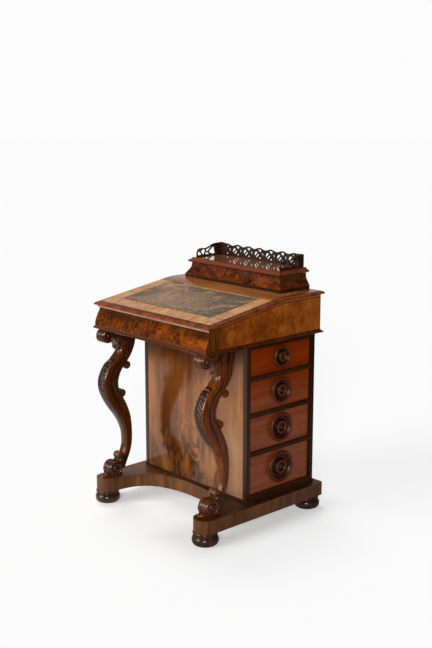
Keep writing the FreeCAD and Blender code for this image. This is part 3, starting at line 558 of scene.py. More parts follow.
def smooth_group():
    """Shades smooth over the edges that turn less than SMOOTH_BELOW."""
    g = bpy.data.node_groups.new("smooth_by_angle", "GeometryNodeTree")
    for way in ("INPUT", "OUTPUT"):
        g.interface.new_socket("Geometry", in_out=way, socket_type="NodeSocketGeometry")
    w = Nodes(g)
    whole = w.node("GeometryNodeSetShadeSmooth", {"Geometry": w.node("NodeGroupInput", {})}, domain="FACE")
    turn = w.node("GeometryNodeInputMeshEdgeAngle", {}, "Unsigned Angle")
    sharp = w.node("FunctionNodeCompare", {0: turn, 1: math.radians(SMOOTH_BELOW)}, data_type="FLOAT",
                   operation="GREATER_THAN")
    done = w.node("GeometryNodeSetShadeSmooth", {"Geometry": whole, "Selection": sharp, "Shade Smooth": False},
                  domain="EDGE")
    w.feed(w.new("NodeGroupOutput").inputs[0], done)
    return g


SMOOTH = smooth_group()


def finish_node(name, mat, round_mm):
    """Gives a CAD node its material and edges rounded by round_mm."""
    o = NODES[name]
    o.data.materials.clear()
    o.data.materials.append(mat)
    weld = o.modifiers.new("weld", "WELD")
    weld.merge_threshold = 1e-6
    if round_mm:
        bev = o.modifiers.new("soft_edges", "BEVEL")
        bev.width = round_mm * MM
        bev.segments = 2
        bev.limit_method = "ANGLE"
        bev.angle_limit = math.radians(ROUND_ABOVE)
        bev.miter_outer = "MITER_ARC"
    gn = o.modifiers.new("smooth", "NODES")
    gn.node_group = SMOOTH
    flat = o.modifiers.new("flat_faces", "WEIGHTED_NORMAL")
    flat.keep_sharp = True


FOUR = range(1, 5)
for names, mat, slot, round_mm in (
        (("case_side_left", "case_side_right", "case_back", "stationery_back"), CASE, "case_walnut", 0.6),
        (("case_bottom",), MOULD, "case_walnut", 0),
        (("ledge_board",), LEDGE, "case_walnut", 0.5),
        (("slope_lid",), LID, "case_walnut", 0.5),
        (("stationery_tray",), PLINTH, "case_walnut", 0.8),
        (("stationery_lid",), BOXLID, "case_walnut", 0.4),
        (("case_front",), FRIEZE, "burr_walnut", 0.4),
        (("stationery_front", "stationery_side_left", "stationery_side_right"), BOXBURR, "burr_walnut", 0.3),
        (("pedestal_front_panel", "pedestal_back_panel"), PANEL, "panel_walnut", 0.4),
        (("stile_front_left", "stile_front_right", "stile_rear_left", "stile_rear_right"), DARK, "dark_frame", 0.8),
        (("pedestal_bottom_board", "pedestal_top_board", "divider_1", "divider_2", "divider_3"),
         RAIL, "dark_frame", 0.8),
        (("platform_base",), BASE, "base_walnut", 1),
        (["drawer_%d_front" % k for k in FOUR], DRAWER, "drawer_mahogany", 0.8),
        (["false_front_%d" % k for k in FOUR], DRAWER, "drawer_mahogany", 0.8),
        (["drawer_%d_box" % k for k in FOUR], LINING, "drawer_lining", 0.6),
        (("lid_leather",), LEATHER, "desk_leather", 0),
        (("lid_plate",), BRASS, "old_brass", 0.15),
        (("slope_hinge_fixed", "slope_hinge_moving", "box_hinge_fixed", "box_hinge_moving"),
         DULL_BRASS, "old_brass", 0)):
    for name in names:
        finish_node(name, mat, round_mm)


# ---------------------------------------------------------------- mesh helpers
def show(name, mesh, mat, body=None, stands_for=(), smooth=True):
    """Shows a mesh in one material; it rides body and stands for the named CAD nodes."""
    mesh.materials.clear()
    mesh.materials.append(mat)
    for poly in mesh.polygons:
        poly.use_smooth = smooth
    o = bpy.data.objects.new(name, mesh)
    scene.collection.objects.link(o)
    if body:
        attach(o, body)
        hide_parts(*stands_for)
    return o


def new_mesh(name, verts, faces):
    mesh = bpy.data.meshes.new(name)
    mesh.from_pydata([tuple(v) for v in verts], [], [tuple(f) for f in faces])
    return mesh


def through(points, per):
    """A smooth curve through rows of numbers, with per steps from each row to the next."""
    pts = np.array(points, float)
    ext = np.vstack([2 * pts[0] - pts[1], pts, 2 * pts[-1] - pts[-2]])
    out = []
    for k in range(len(pts) - 1):
        a, b, c, d = ext[k:k + 4]
        for t in np.linspace(0, 1, per, endpoint=False):
            bend, twist = 2 * a - 5 * b + 4 * c - d, 3 * b - a - 3 * c + d
            out.append(0.5 * (2 * b + (c - a) * t + bend * t * t + twist * t ** 3))
    out.append(pts[-1])
    return np.array(out)


def round_faces(rows, cols):
    """The faces between rows of points that each close round."""
    faces = []
    for i in range(rows - 1):
        for j in range(cols):
            k = (j + 1) % cols
            faces.append((i * cols + j, i * cols + k, (i + 1) * cols + k, (i + 1) * cols + j))
    return faces


def outward(mesh, weld=False):
    """Turns all faces outward, after joining points that lie on each other when weld is set."""
    bm = bmesh.new()
    bm.from_mesh(mesh)
    if weld:
        bmesh.ops.remove_doubles(bm, verts=bm.verts, dist=1e-6)
    bmesh.ops.recalc_face_normals(bm, faces=bm.faces)
    bm.to_mesh(mesh)
    bm.free()


def set_cavity(mesh, values):
    """Stores how hollow (+) or proud (-) the surface is at each point: wax lies in hollows, ridges are worn."""
    att = mesh.attributes.get("cav") or mesh.attributes.new("cav", "FLOAT", "POINT")
    att.data.foreach_set("value", values.astype(np.float32))


def rows_of(data, what, width, kind=float):
    """Reads a property of many elements into rows of the given width."""
    out = np.zeros(len(data) * width, kind)
    data.foreach_get(what, out)
    return out.reshape(-1, width)


def turned(name, profile, centre, axis, mat, body, stands_for, seg=72, per=5):
    """A lathe piece: profile rows are (radius, height) in mm along the axis. Its cavity is the bend of the profile."""
    prof = through(profile, per)
    prof[:, 0] = np.maximum(prof[:, 0], 0)
    prof[0, 0] = prof[-1, 0] = 0
    rot = Vector((0, 0, 1)).rotation_difference(Vector(axis)).to_matrix()
    verts = []
    for r, h in prof:
        for k in range(seg):
            a = 2 * math.pi * k / seg
            verts.append(Vector(centre) + rot @ Vector((r * MM * math.cos(a), r * MM * math.sin(a), h * MM)))
    mesh = new_mesh(name, verts, round_faces(len(prof), seg))
    outward(mesh, weld=True)
    prof_d = np.gradient(prof, axis=0)
    turn = prof_d[:, 0] * np.gradient(prof_d[:, 1]) - prof_d[:, 1] * np.gradient(prof_d[:, 0])
    turn /= (np.linalg.norm(prof_d, axis=1) ** 3 + 1e-3)
    turn = np.convolve(turn, np.ones(5) / 5, "same")
    co = np.array([v.co for v in mesh.vertices]) - np.array(centre)
    ax = np.array(axis, float)
    h = co @ ax / MM
    r = np.linalg.norm(co - np.outer(co @ ax, ax), axis=1) / MM
    near = np.argmin((prof[None, :, 0] - r[:, None]) ** 2 + (prof[None, :, 1] - h[:, None]) ** 2, axis=1)
    set_cavity(mesh, np.clip(-turn[near] * 3, -1.5, 1.5))
    show(name, mesh, mat, body, stands_for)


class Clay:
    """Gathers overlapping closed forms, which are then joined into one carved skin."""

    def __init__(self):
        self.verts, self.faces = [], []

    def tube_grid(self, rings):
        """Rings of points, closed round, capped at both ends."""
        rings = [np.asarray(r, float) for r in rings]
        m = len(rings[0])
        verts = np.vstack(rings + [rings[0].mean(0)[None], rings[-1].mean(0)[None]])
        faces = round_faces(len(rings), m)
        a, b = len(rings) * m, len(rings) * m + 1
        e = (len(rings) - 1) * m
        for j in range(m):
            k = (j + 1) % m
            faces.append((a, k, j))
            faces.append((b, e + j, e + k))
        n = len(self.verts)
        self.verts.extend(tuple(map(float, v)) for v in verts)
        self.faces.extend(tuple(i + n for i in f) for f in faces)

    def skin(self, name, voxel, mat, body, slot, stands_for, mirror=False, cav_mm=0.12):
        """One closed mesh round all forms, from cells of voxel mm."""
        v = np.array(self.verts) * MM
        if mirror:
            v[:, 0] *= -1
        mesh = new_mesh(name + "_raw", v, [f[::-1] if mirror else f for f in self.faces])
        outward(mesh)
        raw = bpy.data.objects.new(name + "_raw", mesh)
        scene.collection.objects.link(raw)
        r = raw.modifiers.new("join", "REMESH")
        r.mode = "VOXEL"
        r.voxel_size = voxel * MM
        s = raw.modifiers.new("soften", "SMOOTH")
        s.factor = 0.5
        s.iterations = 1
        bpy.context.view_layer.update()
        done = bpy.data.meshes.new_from_object(raw.evaluated_get(bpy.context.evaluated_depsgraph_get()))
        bpy.data.objects.remove(raw)
        done.name = name
        cavity(done, cav_mm)
        return show(name, done, mat, body, stands_for)


def cavity(mesh, unit_mm):
    """Finds the hollows and ridges of a carved skin from its points' distance to their smoothed places, for which
    unit_mm is the unit."""
    co, no = rows_of(mesh.vertices, "co", 3), rows_of(mesh.vertices, "normal", 3)
    e = rows_of(mesh.edges, "vertices", 2, int)
    deg = np.bincount(e.ravel(), minlength=len(co)).astype(float)
    deg[deg == 0] = 1

    def mean(f):
        out = np.zeros_like(f)
        np.add.at(out, e[:, 0], f[e[:, 1]])
        np.add.at(out, e[:, 1], f[e[:, 0]])
        return out / (deg[:, None] if f.ndim == 2 else deg)

    total = np.zeros(len(co))
    cur = co
    for k in range(6):
        cur = 0.4 * cur + 0.6 * mean(cur)
        if k in (1, 5):
            total += ((cur - co) * no).sum(1) / (MM * unit_mm * (1 + 0.5 * k))
    for k in range(2):
        total = 0.5 * total + 0.5 * mean(total)
    set_cavity(mesh, np.clip(total, -2, 2))


# ---------------------------------------------------------------- turned knobs and feet
KNOB_R = (36, 44, 48.5, 53)  # top to bottom, mm
KNOB_Z = (536.5, 426.25, 304.25, 171.25)
KNOB_X, KNOB_Y, KNOB_LENGTH = 0.241, 0.0955, 16
KNOB_PROFILE = (  # share of the radius, share of the length
    (0, 0), (0.5, 0), (0.49, 0.08), (0.62, 0.18), (0.84, 0.3), (0.96, 0.44), (1, 0.6), (0.985, 0.74),
    (0.95, 0.86), (0.9, 0.94), (0.845, 0.93), (0.8, 0.84), (0.76, 0.66), (0.71, 0.5), (0.65, 0.4),
    (0.58, 0.34), (0.52, 0.34), (0.475, 0.44), (0.455, 0.64), (0.44, 0.84), (0.41, 0.97), (0.36, 1.02),
    (0.31, 0.97), (0.275, 0.82), (0.245, 0.66), (0.2, 0.6), (0.165, 0.68), (0.12, 0.76), (0.06, 0.8), (0, 0.81))
for k, (radius, z) in enumerate(zip(KNOB_R, KNOB_Z), 1):
    prof = [(r * radius, h * KNOB_LENGTH) for r, h in KNOB_PROFILE]
    for name, sign, body, node in (("knob_%d", 1, "drawer_%d" % k, "drawer_%d_knob"),
                                   ("left_knob_%d", -1, "frame", "false_knob_%d")):
        turned(name % k, prof, (sign * KNOB_X, KNOB_Y, z * MM), (sign, 0, 0), KNOB, body, (node % k,))

FOOT_PROFILE = ((0, 0), (30, 0), (35.5, 1), (38.8, 4), (41.2, 9), (42, 15), (41.2, 21), (38.8, 26),
                (35.8, 29.4), (34.4, 31), (34.6, 32.8), (37.4, 33.8), (39.2, 35.6), (39.4, 38), (38.4, 40),
                (36, 41), (20, 41), (0, 41))
for side, x in (("left", -0.246), ("right", 0.246)):
    for end, y in (("front", -0.228), ("rear", 0.228)):
        turned("bun_foot_%s_%s" % (end, side), FOOT_PROFILE, (x, y, 0), (0, 0, 1), FOOT, "frame",
               ("foot_%s_%s" % (end, side),), seg=96, per=4)


# ---------------------------------------------------------------- carved scroll supports
Y0, Z0, H = -246, 85, 510  # mm: front line, foot and height


def at(dy, k):
    """A place in the side plane of a support: dy mm behind Y0, at the share k of its height."""
    return np.array((Y0 + dy, Z0 + k * H))


PAIRS = (  # front (dy, k), back (dy, k), half width, and where the three grooves lie from front (0) to back (1)
    ((59, 1), (143, 1), 20.5, 0.22, 0.5, 0.76),
    ((63, 0.965), (138, 0.965), 21, 0.25, 0.52, 0.78),
    ((64, 0.935), (134, 0.935), 21.3, 0.28, 0.54, 0.8),
    ((66, 0.885), (127, 0.87), 22, 0.32, 0.57, 0.82),
    ((61, 0.835), (111, 0.808), 22.3, 0.42, 0.66, 0.89),
    ((42, 0.79), (90, 0.757), 22.6, 0.45, 0.71, 0.97),
    ((18, 0.758), (70, 0.714), 23, 0.44, 0.73, 1.2),
    ((-1, 0.7), (58, 0.662), 23.4, 0.44, 0.75, 1.6),
    ((-8, 0.65), (56, 0.622), 23.4, 0.5, 0.78, 1.6),
    ((-6, 0.598), (62, 0.575), 23, 0.53, 0.85, 1.6),
    ((7, 0.535), (78, 0.522), 22.2, 0.52, 1.02, 1.6),
    ((26, 0.472), (95, 0.457), 21.2, 0.48, 1.6, 1.6),
    ((48, 0.41), (106, 0.393), 20.4, 0.38, 1.6, 1.6),
    ((67, 0.347), (110, 0.334), 19.6, 0.3, 1.6, 1.6),
    ((79, 0.278), (111, 0.272), 19, 0.22, 1.6, 1.6),
    ((81, 0.2), (109, 0.209), 18.8, 0.18, 1.6, 1.6),
    ((70, 0.14), (102, 0.15), 18.6, 0.18, 1.6, 1.6),
    ((56, 0.09), (90, 0.097), 18.4, 0.18, 1.6, 1.6),
    ((46, 0.04), (78, 0.043), 18, 0.18, 1.6, 1.6),
)


def bell(d, sigma):
    """1 at d = 0, falling off to both sides."""
    return np.exp(-(d / sigma) ** 2)


def ease(x, lo, hi):
    """0 below lo, 1 above hi, eased between."""
    t = np.clip((x - lo) / (hi - lo), 0, 1)
    return t * t * (3 - 2 * t)


# the knee leaf: its head and tail as shares of the height, and the pitches of its lobes and of its pearls in mm
LEAF_HEAD, LEAF_TAIL, LOBE_PITCH, PEARL_PITCH = 0.785, 0.425, 17, 5.2


def acanthus(s, v):
    """Height in mm of the knee leaf, s mm down the strip and v across it from -1 to 1."""
    a = np.abs(v)
    f = np.mod((s - 13 * a ** 1.4) / LOBE_PITCH, 1)
    lobe = np.sqrt(np.clip(1 - (2 * f - 1) ** 2, 0, 1))
    reach = 0.7 + 0.28 * np.sin(np.pi * f)
    inside = ease(reach - a, 0, 0.12)
    vein = 0.9 * np.abs(np.sin(3 * np.pi * f)) * ease(a, 0.15, 0.4)
    leaf = (0.6 + 2 * lobe + 0.5 * vein) * inside
    stem = 2.9 * bell(a, 0.13)
    pearls = 0.7 * np.abs(np.sin(np.pi * s / PEARL_PITCH)) * bell(a, 0.1)
    return np.maximum(leaf * (1 - 0.75 * bell(a, 0.1)), stem) + pearls - 0.2


def shaft(clay, xc):
    """The S form itself: three grooves down each cheek, and the knee leaf on its front."""
    rows = through([[*at(*f), *at(*b), *rest] for f, b, *rest in PAIRS], 34)
    fronts = rows[:, 0:2]
    dist = np.concatenate([[0], np.cumsum(np.linalg.norm(np.diff(fronts, axis=0), axis=1))])
    k_row = (fronts[:, 1] - Z0) / H
    top = dist[int(np.argmin(np.abs(k_row - LEAF_HEAD)))]
    end = dist[int(np.argmin(np.abs(k_row - LEAF_TAIL)))]
    m = 200
    th = np.linspace(0, 2 * math.pi, m, endpoint=False)
    c, s = np.cos(th), np.sin(th)
    rings = []
    for i, row in enumerate(rows):
        f, b, w, grooves = row[0:2], row[2:4], row[4], row[5:8]
        length = np.linalg.norm(b - f)
        box = float(ease(k_row[i], 0.36, 0.5) * (1 - ease(k_row[i], 0.8, 0.86)))
        pu = np.where(c > 0, 0.85 - 0.35 * box, 0.55)
        pe = np.where(c > 0, 0.72 - 0.26 * box, 0.45)
        u = 0.5 - 0.5 * np.sign(c) * np.abs(c) ** pu
        x = np.sign(s) * np.abs(s) ** pe * w
        edges = [-0.22, *grooves, 1.9]
        deep = 3.8 - (1 - ease(k_row[i], 0.3, 0.5))
        wall = np.full(m, 99)
        for j, (g0, g1) in enumerate(zip(edges, edges[1:])):
            hit = (u >= g0) & (u < g1)
            t = (u - g0) / max(g1 - g0, 1e-6)
            arch = np.clip(1 - np.abs(2 * t - 1) ** 2.4, 0, 1) ** 0.5
            wall = np.where(hit, w - 0.9 * j - deep * (1 - arch), wall)
        x = np.sign(x) * np.minimum(np.abs(x), np.maximum(wall, 2))
        out = (f - b) / length
        pts = f[None] + (b - f)[None] * u[:, None]
        live = float(ease(dist[i], top, top + 10) * (1 - ease(dist[i], end - 26, end + 2)))
        if live > 0:
            v = x / (w * 0.66)
            face = ease(-u, -0.16, -0.05) * (np.abs(v) < 1.02)
            taper = 0.55 + 0.45 * (1 - ease(dist[i], end - 70, end))
            hgt = acanthus(dist[i] - top, v / taper)
            hgt = np.where(np.abs(v / taper) < 1, hgt - 1.6 * ease(1 - np.abs(v / taper), 0, 0.1), 0)
            pts = pts + out[None] * (hgt * face * live)[:, None]
        rings.append(np.column_stack([xc + x, pts]))
    clay.tube_grid(rings)


def volute(clay, xc, centre, radius, half, turns, start, sense=1, groove=2.2, ribs=0, rib_pitch=9, eye=1.6):
    """A rolled scroll end: spiral channel on both cheeks, optional ribs round the roll."""
    n_face, n_rim, seg = 26, 44, 120
    e = min(4.5, radius * 0.25, half * 0.5)
    bend = [(radius - e + e * math.sin(t), half - e + e * math.cos(t)) for t in np.linspace(0, math.pi / 2, 6)]
    cheek = [(t * (radius - e), half) for t in np.linspace(0, 1, n_face)] + bend[1:]
    rim = [(radius, (half - e) * t) for t in np.linspace(1, -1, n_rim)[1:-1]]
    prof = np.array(cheek + rim + [(r, -x) for r, x in cheek[::-1]])
    phi = np.linspace(0, 2 * math.pi, seg, endpoint=False)
    rings = []
    for r, x in prof:
        frac = np.mod((1 - r / radius) * turns - sense * (phi - start) / (2 * math.pi), 1)
        d = np.minimum(frac, 1 - frac) / turns * radius
        on_face = 1 if abs(x) > half - e * 0.5 else 0
        sink = groove * bell(d, 1.7) * on_face * (1 if r > 4 else 0)
        lift = eye * bell(r, 3.6)
        xx = np.sign(x) * (abs(x) - sink + lift)
        rr = np.full(seg, r)
        if ribs and r > radius - e * 0.6:
            rr = rr + ribs * (2 * abs(math.cos(math.pi * x / rib_pitch)) ** 0.8 - 1.3)
        rings.append(np.column_stack([xc + xx, centre[0] + rr * np.cos(phi), centre[1] + rr * np.sin(phi)]))
    rings[0] += np.array([0, 1e-4, 0])
    clay.tube_grid(rings)


def ribbon(clay, xc, path, widths, thick, reeds, pitch, hollow):
    """A leaf lying along a path in the side plane, rounded across, with reeds along it and a hollow middle."""
    p = through(path, 8)
    w = through([[v] for v in widths], 8)[:, 0]
    t = np.gradient(p, axis=0)
    t /= np.linalg.norm(t, axis=1)[:, None]
    nrm = np.column_stack([t[:, 1], -t[:, 0]])
    m = 72
    th = np.linspace(0, 2 * math.pi, m, endpoint=False)
    rings = []
    for i in range(len(p)):
        half = max(w[i], 0.4)
        dx = half * np.cos(th)
        hgt = thick * np.sin(th) * np.sqrt(np.clip(1.02 - np.cos(th) ** 2 * 0.6, 0, 1))
        up = np.clip(np.sin(th), 0, 1)
        hgt = hgt - reeds * (1 - np.abs(np.cos(math.pi * dx / pitch)) ** 0.8) * up ** 0.4
        hgt = hgt - hollow * up ** 2
        hgt = hgt * min(1, half / 5)
        q = p[i][None] + nrm[i][None] * hgt[:, None]
        rings.append(np.column_stack([xc + dx, q]))
    clay.tube_grid(rings)


def block(clay, xc, layers):
    """A block of four sides from layers of (z, front, back, half width), in mm, front and back from Y0."""
    clay.tube_grid([np.array([(xc - w, Y0 + a, z), (xc + w, Y0 + a, z), (xc + w, Y0 + b, z), (xc - w, Y0 + b, z)])
                    for z, a, b, w in layers])


def leg(name, xc, mirror):
    """One carved support, its middle xc mm to the right; mirror moves it to the left."""
    clay = Clay()
    shaft(clay, xc)
    # top roll, the smaller roll behind it and the leaf lip over the throat
    volute(clay, xc, at(15, 0.955), 21.8, 22, 1.6, start=2.2, groove=3, ribs=1.9, rib_pitch=10)
    volute(clay, xc, at(60, 0.922), 9.5, 22.4, 1, start=3.4, sense=-1, eye=1)
    volute(clay, xc, at(40, 0.968), 17, 20.5, 1.2, start=2, ribs=1.2, rib_pitch=9.2)
    ribbon(clay, xc, [at(40, 0.95), at(46, 0.925), at(52, 0.903), at(57, 0.884), at(56, 0.87), at(50, 0.862)],
           [15.5, 20, 21.5, 21, 17, 7], 4.8, reeds=1.2, pitch=12, hollow=1)
    # rolled head of the knee leaf
    volute(clay, xc, at(35, 0.775), 6.2, 11.5, 1, start=2, groove=1.2, ribs=0.7, rib_pitch=4.6, eye=0.8)
    # head of the support under the case
    block(clay, xc, ((Z0 + 0.955 * H, 24, 120, 12), (Z0 + 0.98 * H, 18, 130, 15), (Z0 + H, 16, 136, 18)))
    # the two curls behind
    volute(clay, xc, at(94, 0.74), 13.5, 17.5, 1.4, start=-1.2, sense=-1)
    volute(clay, xc, at(71, 0.557), 14, 18, 1.4, start=-1.2, sense=-1)
    # ankle: curl, overlapping rings, foot scroll and toe
    volute(clay, xc, at(61, 0.132), 12.5, 16, 1.3, start=0.5, groove=1.8, ribs=0.8)
    for dy, k, r in ((64, 0.1, 9), (58, 0.082, 10.5)):
        volute(clay, xc, at(dy, k), r, 18.8, 1, start=0.5, groove=1.4, ribs=0.8, rib_pitch=8, eye=0.5)
    volute(clay, xc, at(35, 0.052), 26, 21.5, 1.7, start=2.6, groove=3.2, ribs=1.9, rib_pitch=9.5)
    toe = []
    for t in np.linspace(0.02, 0.98, 12):
        r = math.sin(math.pi * t) ** 0.6
        y = Y0 - 8 + 42 * t
        ring = []
        for a in np.linspace(0, 2 * math.pi, 24, endpoint=False):
            ring.append((xc + 14.5 * r * math.cos(a), y, max(Z0 + 0.2, Z0 + 7.5 + 9.5 * r * math.sin(a))))
        toe.append(np.array(ring))
    clay.tube_grid(toe)
    block(clay, xc, ((Z0, 10, 66, 15), (Z0 + 5, 10, 66, 15), (Z0 + 9, 10, 66, 12)))
    v = np.array(clay.verts)
    v[:, 2] = np.clip(v[:, 2], Z0, Z0 + H)
    clay.verts = [tuple(p) for p in v]
    side = "left" if mirror else "right"
    o = clay.skin(name, 0.95, CARVED, "frame", "carved_mahogany", ("scroll_support_" + side,), mirror)
    # darker in the knee leaf, on the back of the cheeks along the reeds and in the scrolls at both ends
    co = rows_of(o.data.vertices, "co", 3) / MM
    k = (co[:, 2] - Z0) / H
    front_dy, front_k = np.array([front for front, *_ in PAIRS])[::-1].T
    ahead = co[:, 1] - (Y0 + np.interp(k, front_k, front_dy))
    across = np.abs(np.abs(co[:, 0]) - xc)
    strip = (1 - ease(across, 11.5, 13.5)) * (1 - ease(ahead, 4, 8))
    strip = strip * ease(k, 0.4, 0.46) * (1 - ease(k, 0.78, 0.8))
    ends = np.maximum(ease(k, 0.895, 0.935), 1 - ease(k, 0.12, 0.145))
    reeds = ease(ahead, 13, 22) * ease(k, 0.42, 0.5) * (1 - ease(k, 0.86, 0.93))
    cav = rows_of(o.data.attributes["cav"].data, "value", 1, np.float32)[:, 0]
    set_cavity(o.data, np.clip(cav + 0.68 * strip + 0.4 * ends + 0.22 * reeds, -1.5, 2))


leg("scroll_leg_right", 240, False)
leg("scroll_leg_left", 240, True)


# ---------------------------------------------------------------- pierced gallery
# mm: height of the foot rails, half widths of rails, strands and curls, end of the back board, faces of the boards
RAIL_Z, RAIL_HALF, STRAND_HALF, CURL_HALF, BACK_END = 802.6, 2.8, 3.8, 2.3, 200.3
BACK_FACES, SIDE_FACES = (239.6, 244.4), (195.7, 200.4)
PITCH, MIDDLE_Z, CREST_Z = 53, 818.4, 838.2  # of the strands


def placed(a, z, d, plane):
    """A point of a board: a along it, z up and d through its thickness."""
    return (a, d, z) if plane == "xz" else (d, a, z)


def band(clay, pts, half, faces, plane):
    """A flat strip of fretwork of constant width along a curve, cut from a board between its two faces."""
    p = np.array(pts, float)
    t = np.gradient(p, axis=0)
    t /= np.linalg.norm(t, axis=1)[:, None] + 1e-9
    nrm = np.column_stack([-t[:, 1], t[:, 0]])
    d0, d1 = faces
    rings = []
    for a, n in zip(p, nrm):
        lo, hi = a - n * half, a + n * half
        rings.append(np.array([placed(*q, d, plane) for q, d in ((lo, d0), (hi, d0), (hi, d1), (lo, d1))]))
    clay.tube_grid(rings)


def plate(clay, poly, faces, plane):
    """A flat piece of fretwork within an outline."""
    clay.tube_grid([np.array([placed(*q, d, plane) for q in poly]) for d in faces])


def fret_skin(clay, part):
    clay.skin("fret_" + part, 0.9, FRET, "box_lid", "dark_turning", ("gallery_" + part,), cav_mm=0.1)


def fret_back():
    clay = Clay()
    xs = np.linspace(-170, 170, 340)
    turn = 2 * math.pi / PITCH
    top = CREST_Z + 3 * np.cos(turn * xs)
    band(clay, np.column_stack([xs, top - 2.6]), RAIL_HALF, BACK_FACES, "xz")
    band(clay, [(-200, RAIL_Z), (0, RAIL_Z), (200, RAIL_Z)], 2.9, BACK_FACES, "xz")
    lean = xs + 3.5 * np.sin(turn * xs + 0.9)
    for ph in (0, math.pi):
        strand = MIDDLE_Z + 13.6 * np.sin(turn * xs + ph)
        band(clay, np.column_stack([lean, strand]), STRAND_HALF, BACK_FACES, "xz")
    for k in range(-6, 6):
        c = k * PITCH / 2 + 13.2
        s = 1 if k % 2 else -1
        curl = [(c + dx, 817 + dz * s) for dx, dz in ((-9.5, -7), (-4.5, -4), (-1, 0), (3, 4), (9, 7))]
        band(clay, through(curl, 5), CURL_HALF, BACK_FACES, "xz")
    block_edges = {
        -1: [(163, 800), (161, 812), (159, 824), (157, 831), (161, 837), (168, 841), (178, 843.2), (188, 843.4),
             (195, 842.4), (BACK_END, 840.6)],
        1: [(163, 800), (161, 812), (159, 824), (158, 832), (164, 837.6), (175, 840.6), (188, 841.6),
            (BACK_END, 841.4)]}
    for s, edge in block_edges.items():
        plate(clay, [(s * a, z) for a, z in through(edge, 5)] + [(s * BACK_END, 800)], BACK_FACES, "xz")
    fret_skin(clay, "back")


def fret_side(side):
    clay = Clay()
    faces = SIDE_FACES if side == "right" else [-d for d in SIDE_FACES[::-1]]
    c = through([(135.5, 801), (134.8, 809), (136.4, 818), (142, 825.5), (151, 828.6), (164, 828), (176, 827.6),
                 (188, 830.2), (198, 834.6), (208, 838.4), (220, 840.6), (239.5, 841.2)], 6)
    t = np.gradient(c, axis=0)
    t /= np.linalg.norm(t, axis=1)[:, None]
    inner = c - np.column_stack([-t[:, 1], t[:, 0]]) * 2.4
    band(clay, inner, 2.5, faces, "yz")
    band(clay, [(134.6, RAIL_Z), (180, RAIL_Z), (239.5, RAIL_Z)], RAIL_HALF, faces, "yz")
    for curl in ([(141, 823), (150, 817), (157, 810), (162, 803)], [(150, 817), (157, 822), (163, 827)],
                 [(168, 803), (174, 812), (176, 820), (174, 827)], [(176, 816), (186, 812), (195, 808), (204, 803)],
                 [(186, 812), (194, 820), (204, 827), (213, 832)]):
        band(clay, through(curl, 6), CURL_HALF, faces, "yz")
    plate(clay, [(220, 801), (239.5, 801), (239.5, 841.2), (222, 840.8), (214, 834), (216, 822), (218, 812)],
          faces, "yz")
    fret_skin(clay, side)


fret_back()
fret_side("right")
fret_side("left")


# ---------------------------------------------------------------- stage: floor, backdrop light, lamps
FLOOR_WHITE, WORLD_WHITE = 0.965, 0.975  # what the camera sees
FLOOR_GREY = 0.62  # what lights the desk from below
SHARE_FAR, SHARE_NEAR, FADE = 0.34, 0.8, 0.13  # share of the white that is lit, away from and under the desk
LIT = 0.77  # brightness of a wholly lit floor


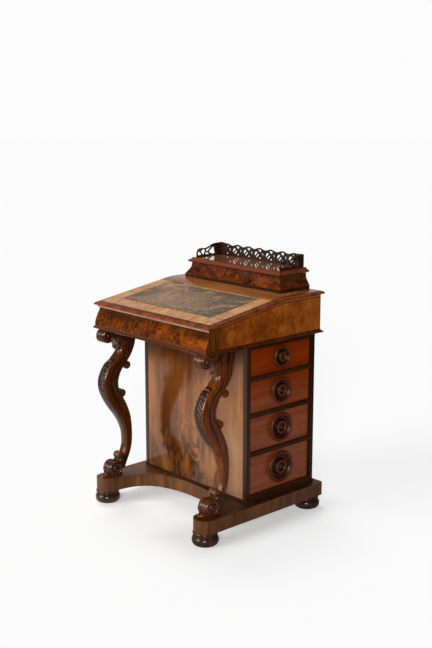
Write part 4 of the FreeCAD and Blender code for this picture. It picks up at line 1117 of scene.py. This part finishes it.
def stage_floor():
    """A white disc. The camera sees white with the desk's shadow on it, the desk is lit by an even grey, and the
    polish mirrors a floor that is light to the left and close by only."""
    rings, seg = (0.4, 0.8, 1.2, 1.8, 2.6, 3.6, 5, 9, 16, 30), 64
    verts = [(0, 0, 0)]
    for r in rings:
        for k in range(seg):
            a = 2 * math.pi * k / seg
            verts.append((r * math.cos(a), r * math.sin(a), 0))
    faces = [(0, 1 + k, 1 + (k + 1) % seg) for k in range(seg)]
    for i in range(len(rings) - 1):
        for k in range(seg):
            a, b = 1 + i * seg + k, 1 + i * seg + (k + 1) % seg
            faces.append((a, a + seg, b + seg, b))
    m = Mat("studio_floor")
    m.tree.nodes.remove(m.bsdf)
    from_camera, mirrored = m.rays()
    bounce = m.node("ShaderNodeBsdfDiffuse", {0: (FLOOR_GREY, FLOOR_GREY, FLOOR_GREY)})
    # more of the white is lit rather than glowing close to the base, so the shadow there is deep
    x, y, _ = m.xyz(m.place)
    wide = abs(x)
    slab = m.max(wide - 0.245, m.max(y - 0.255, -0.045 - y))
    arm = m.max(abs(wide - 0.205) - 0.045, abs(y + 0.03) - 0.235)
    share = m.step(m.min(slab, arm), FADE, 0, SHARE_FAR, SHARE_NEAR)
    shown = m.node("ShaderNodeBsdfDiffuse", {0: share})
    glow = m.node("ShaderNodeEmission", {0: (1, 1, 1), 1: FLOOR_WHITE - share * LIT})
    seen = m.node("ShaderNodeAddShader", {0: shown, 1: glow})
    first = m.node("ShaderNodeMixShader", {0: from_camera, 1: bounce, 2: seen})
    r = m.math("SQRT", x * x + y * y)
    left = m.step(x / m.max(r, 0.5), 0.6, -0.9, 0, 0.95) * m.step(r, 2.2, 1.8, 0.3, 1)
    near = m.step(r, 1.95, 1, 0, 0.24)
    mirror = m.node("ShaderNodeEmission", {0: (1, 1, 1), 1: m.max(left, near)})
    m.feed(m.out.inputs[0], m.node("ShaderNodeMixShader", {0: mirrored, 1: first, 2: mirror}))
    o = show("floor", new_mesh("floor", verts, faces), m.mat, smooth=False)


def stage_world():
    """A studio whose light comes from the left, low and from behind; the camera sees white."""
    world = bpy.data.worlds.new("studio")
    scene.world = world
    world.use_nodes = True
    w = Nodes(world.node_tree)
    x, y, z = w.xyz(w.node("ShaderNodeTexCoord", {}, "Generated"))
    from_camera, mirrored = w.rays()
    lit = w.step(x, 0.6, -0.9) * w.step(z, 0.12, 0.42, 0.95, 0.2) * w.step(y, -0.4, 0.25, 0.45, 1)
    strength = w.blend(mirrored, w.blend(from_camera, lit, WORLD_WHITE), lit)
    background = w.node("ShaderNodeBackground", {0: (1, 1, 1), 1: strength})
    w.feed(w.new("ShaderNodeOutputWorld").inputs[0], background)


def sun(name, towards, strength, angle):
    """A lamp far off in the direction towards, angle degrees wide."""
    d = bpy.data.lights.new(name, "SUN")
    d.energy = strength
    d.angle = math.radians(angle)
    o = bpy.data.objects.new(name, d)
    o.rotation_euler = Vector(towards).to_track_quat("Z", "Y").to_euler()
    scene.collection.objects.link(o)


stage_floor()
stage_world()
sun("key", (-0.3, -0.85, 0.42), 1.8, 34)
sun("front", (0.62, -0.72, 0.32), 1.85, 16)
sun("top", (-0.35, 0.15, 0.92), 0.9, 20)

scene.view_settings.view_transform = "Standard"
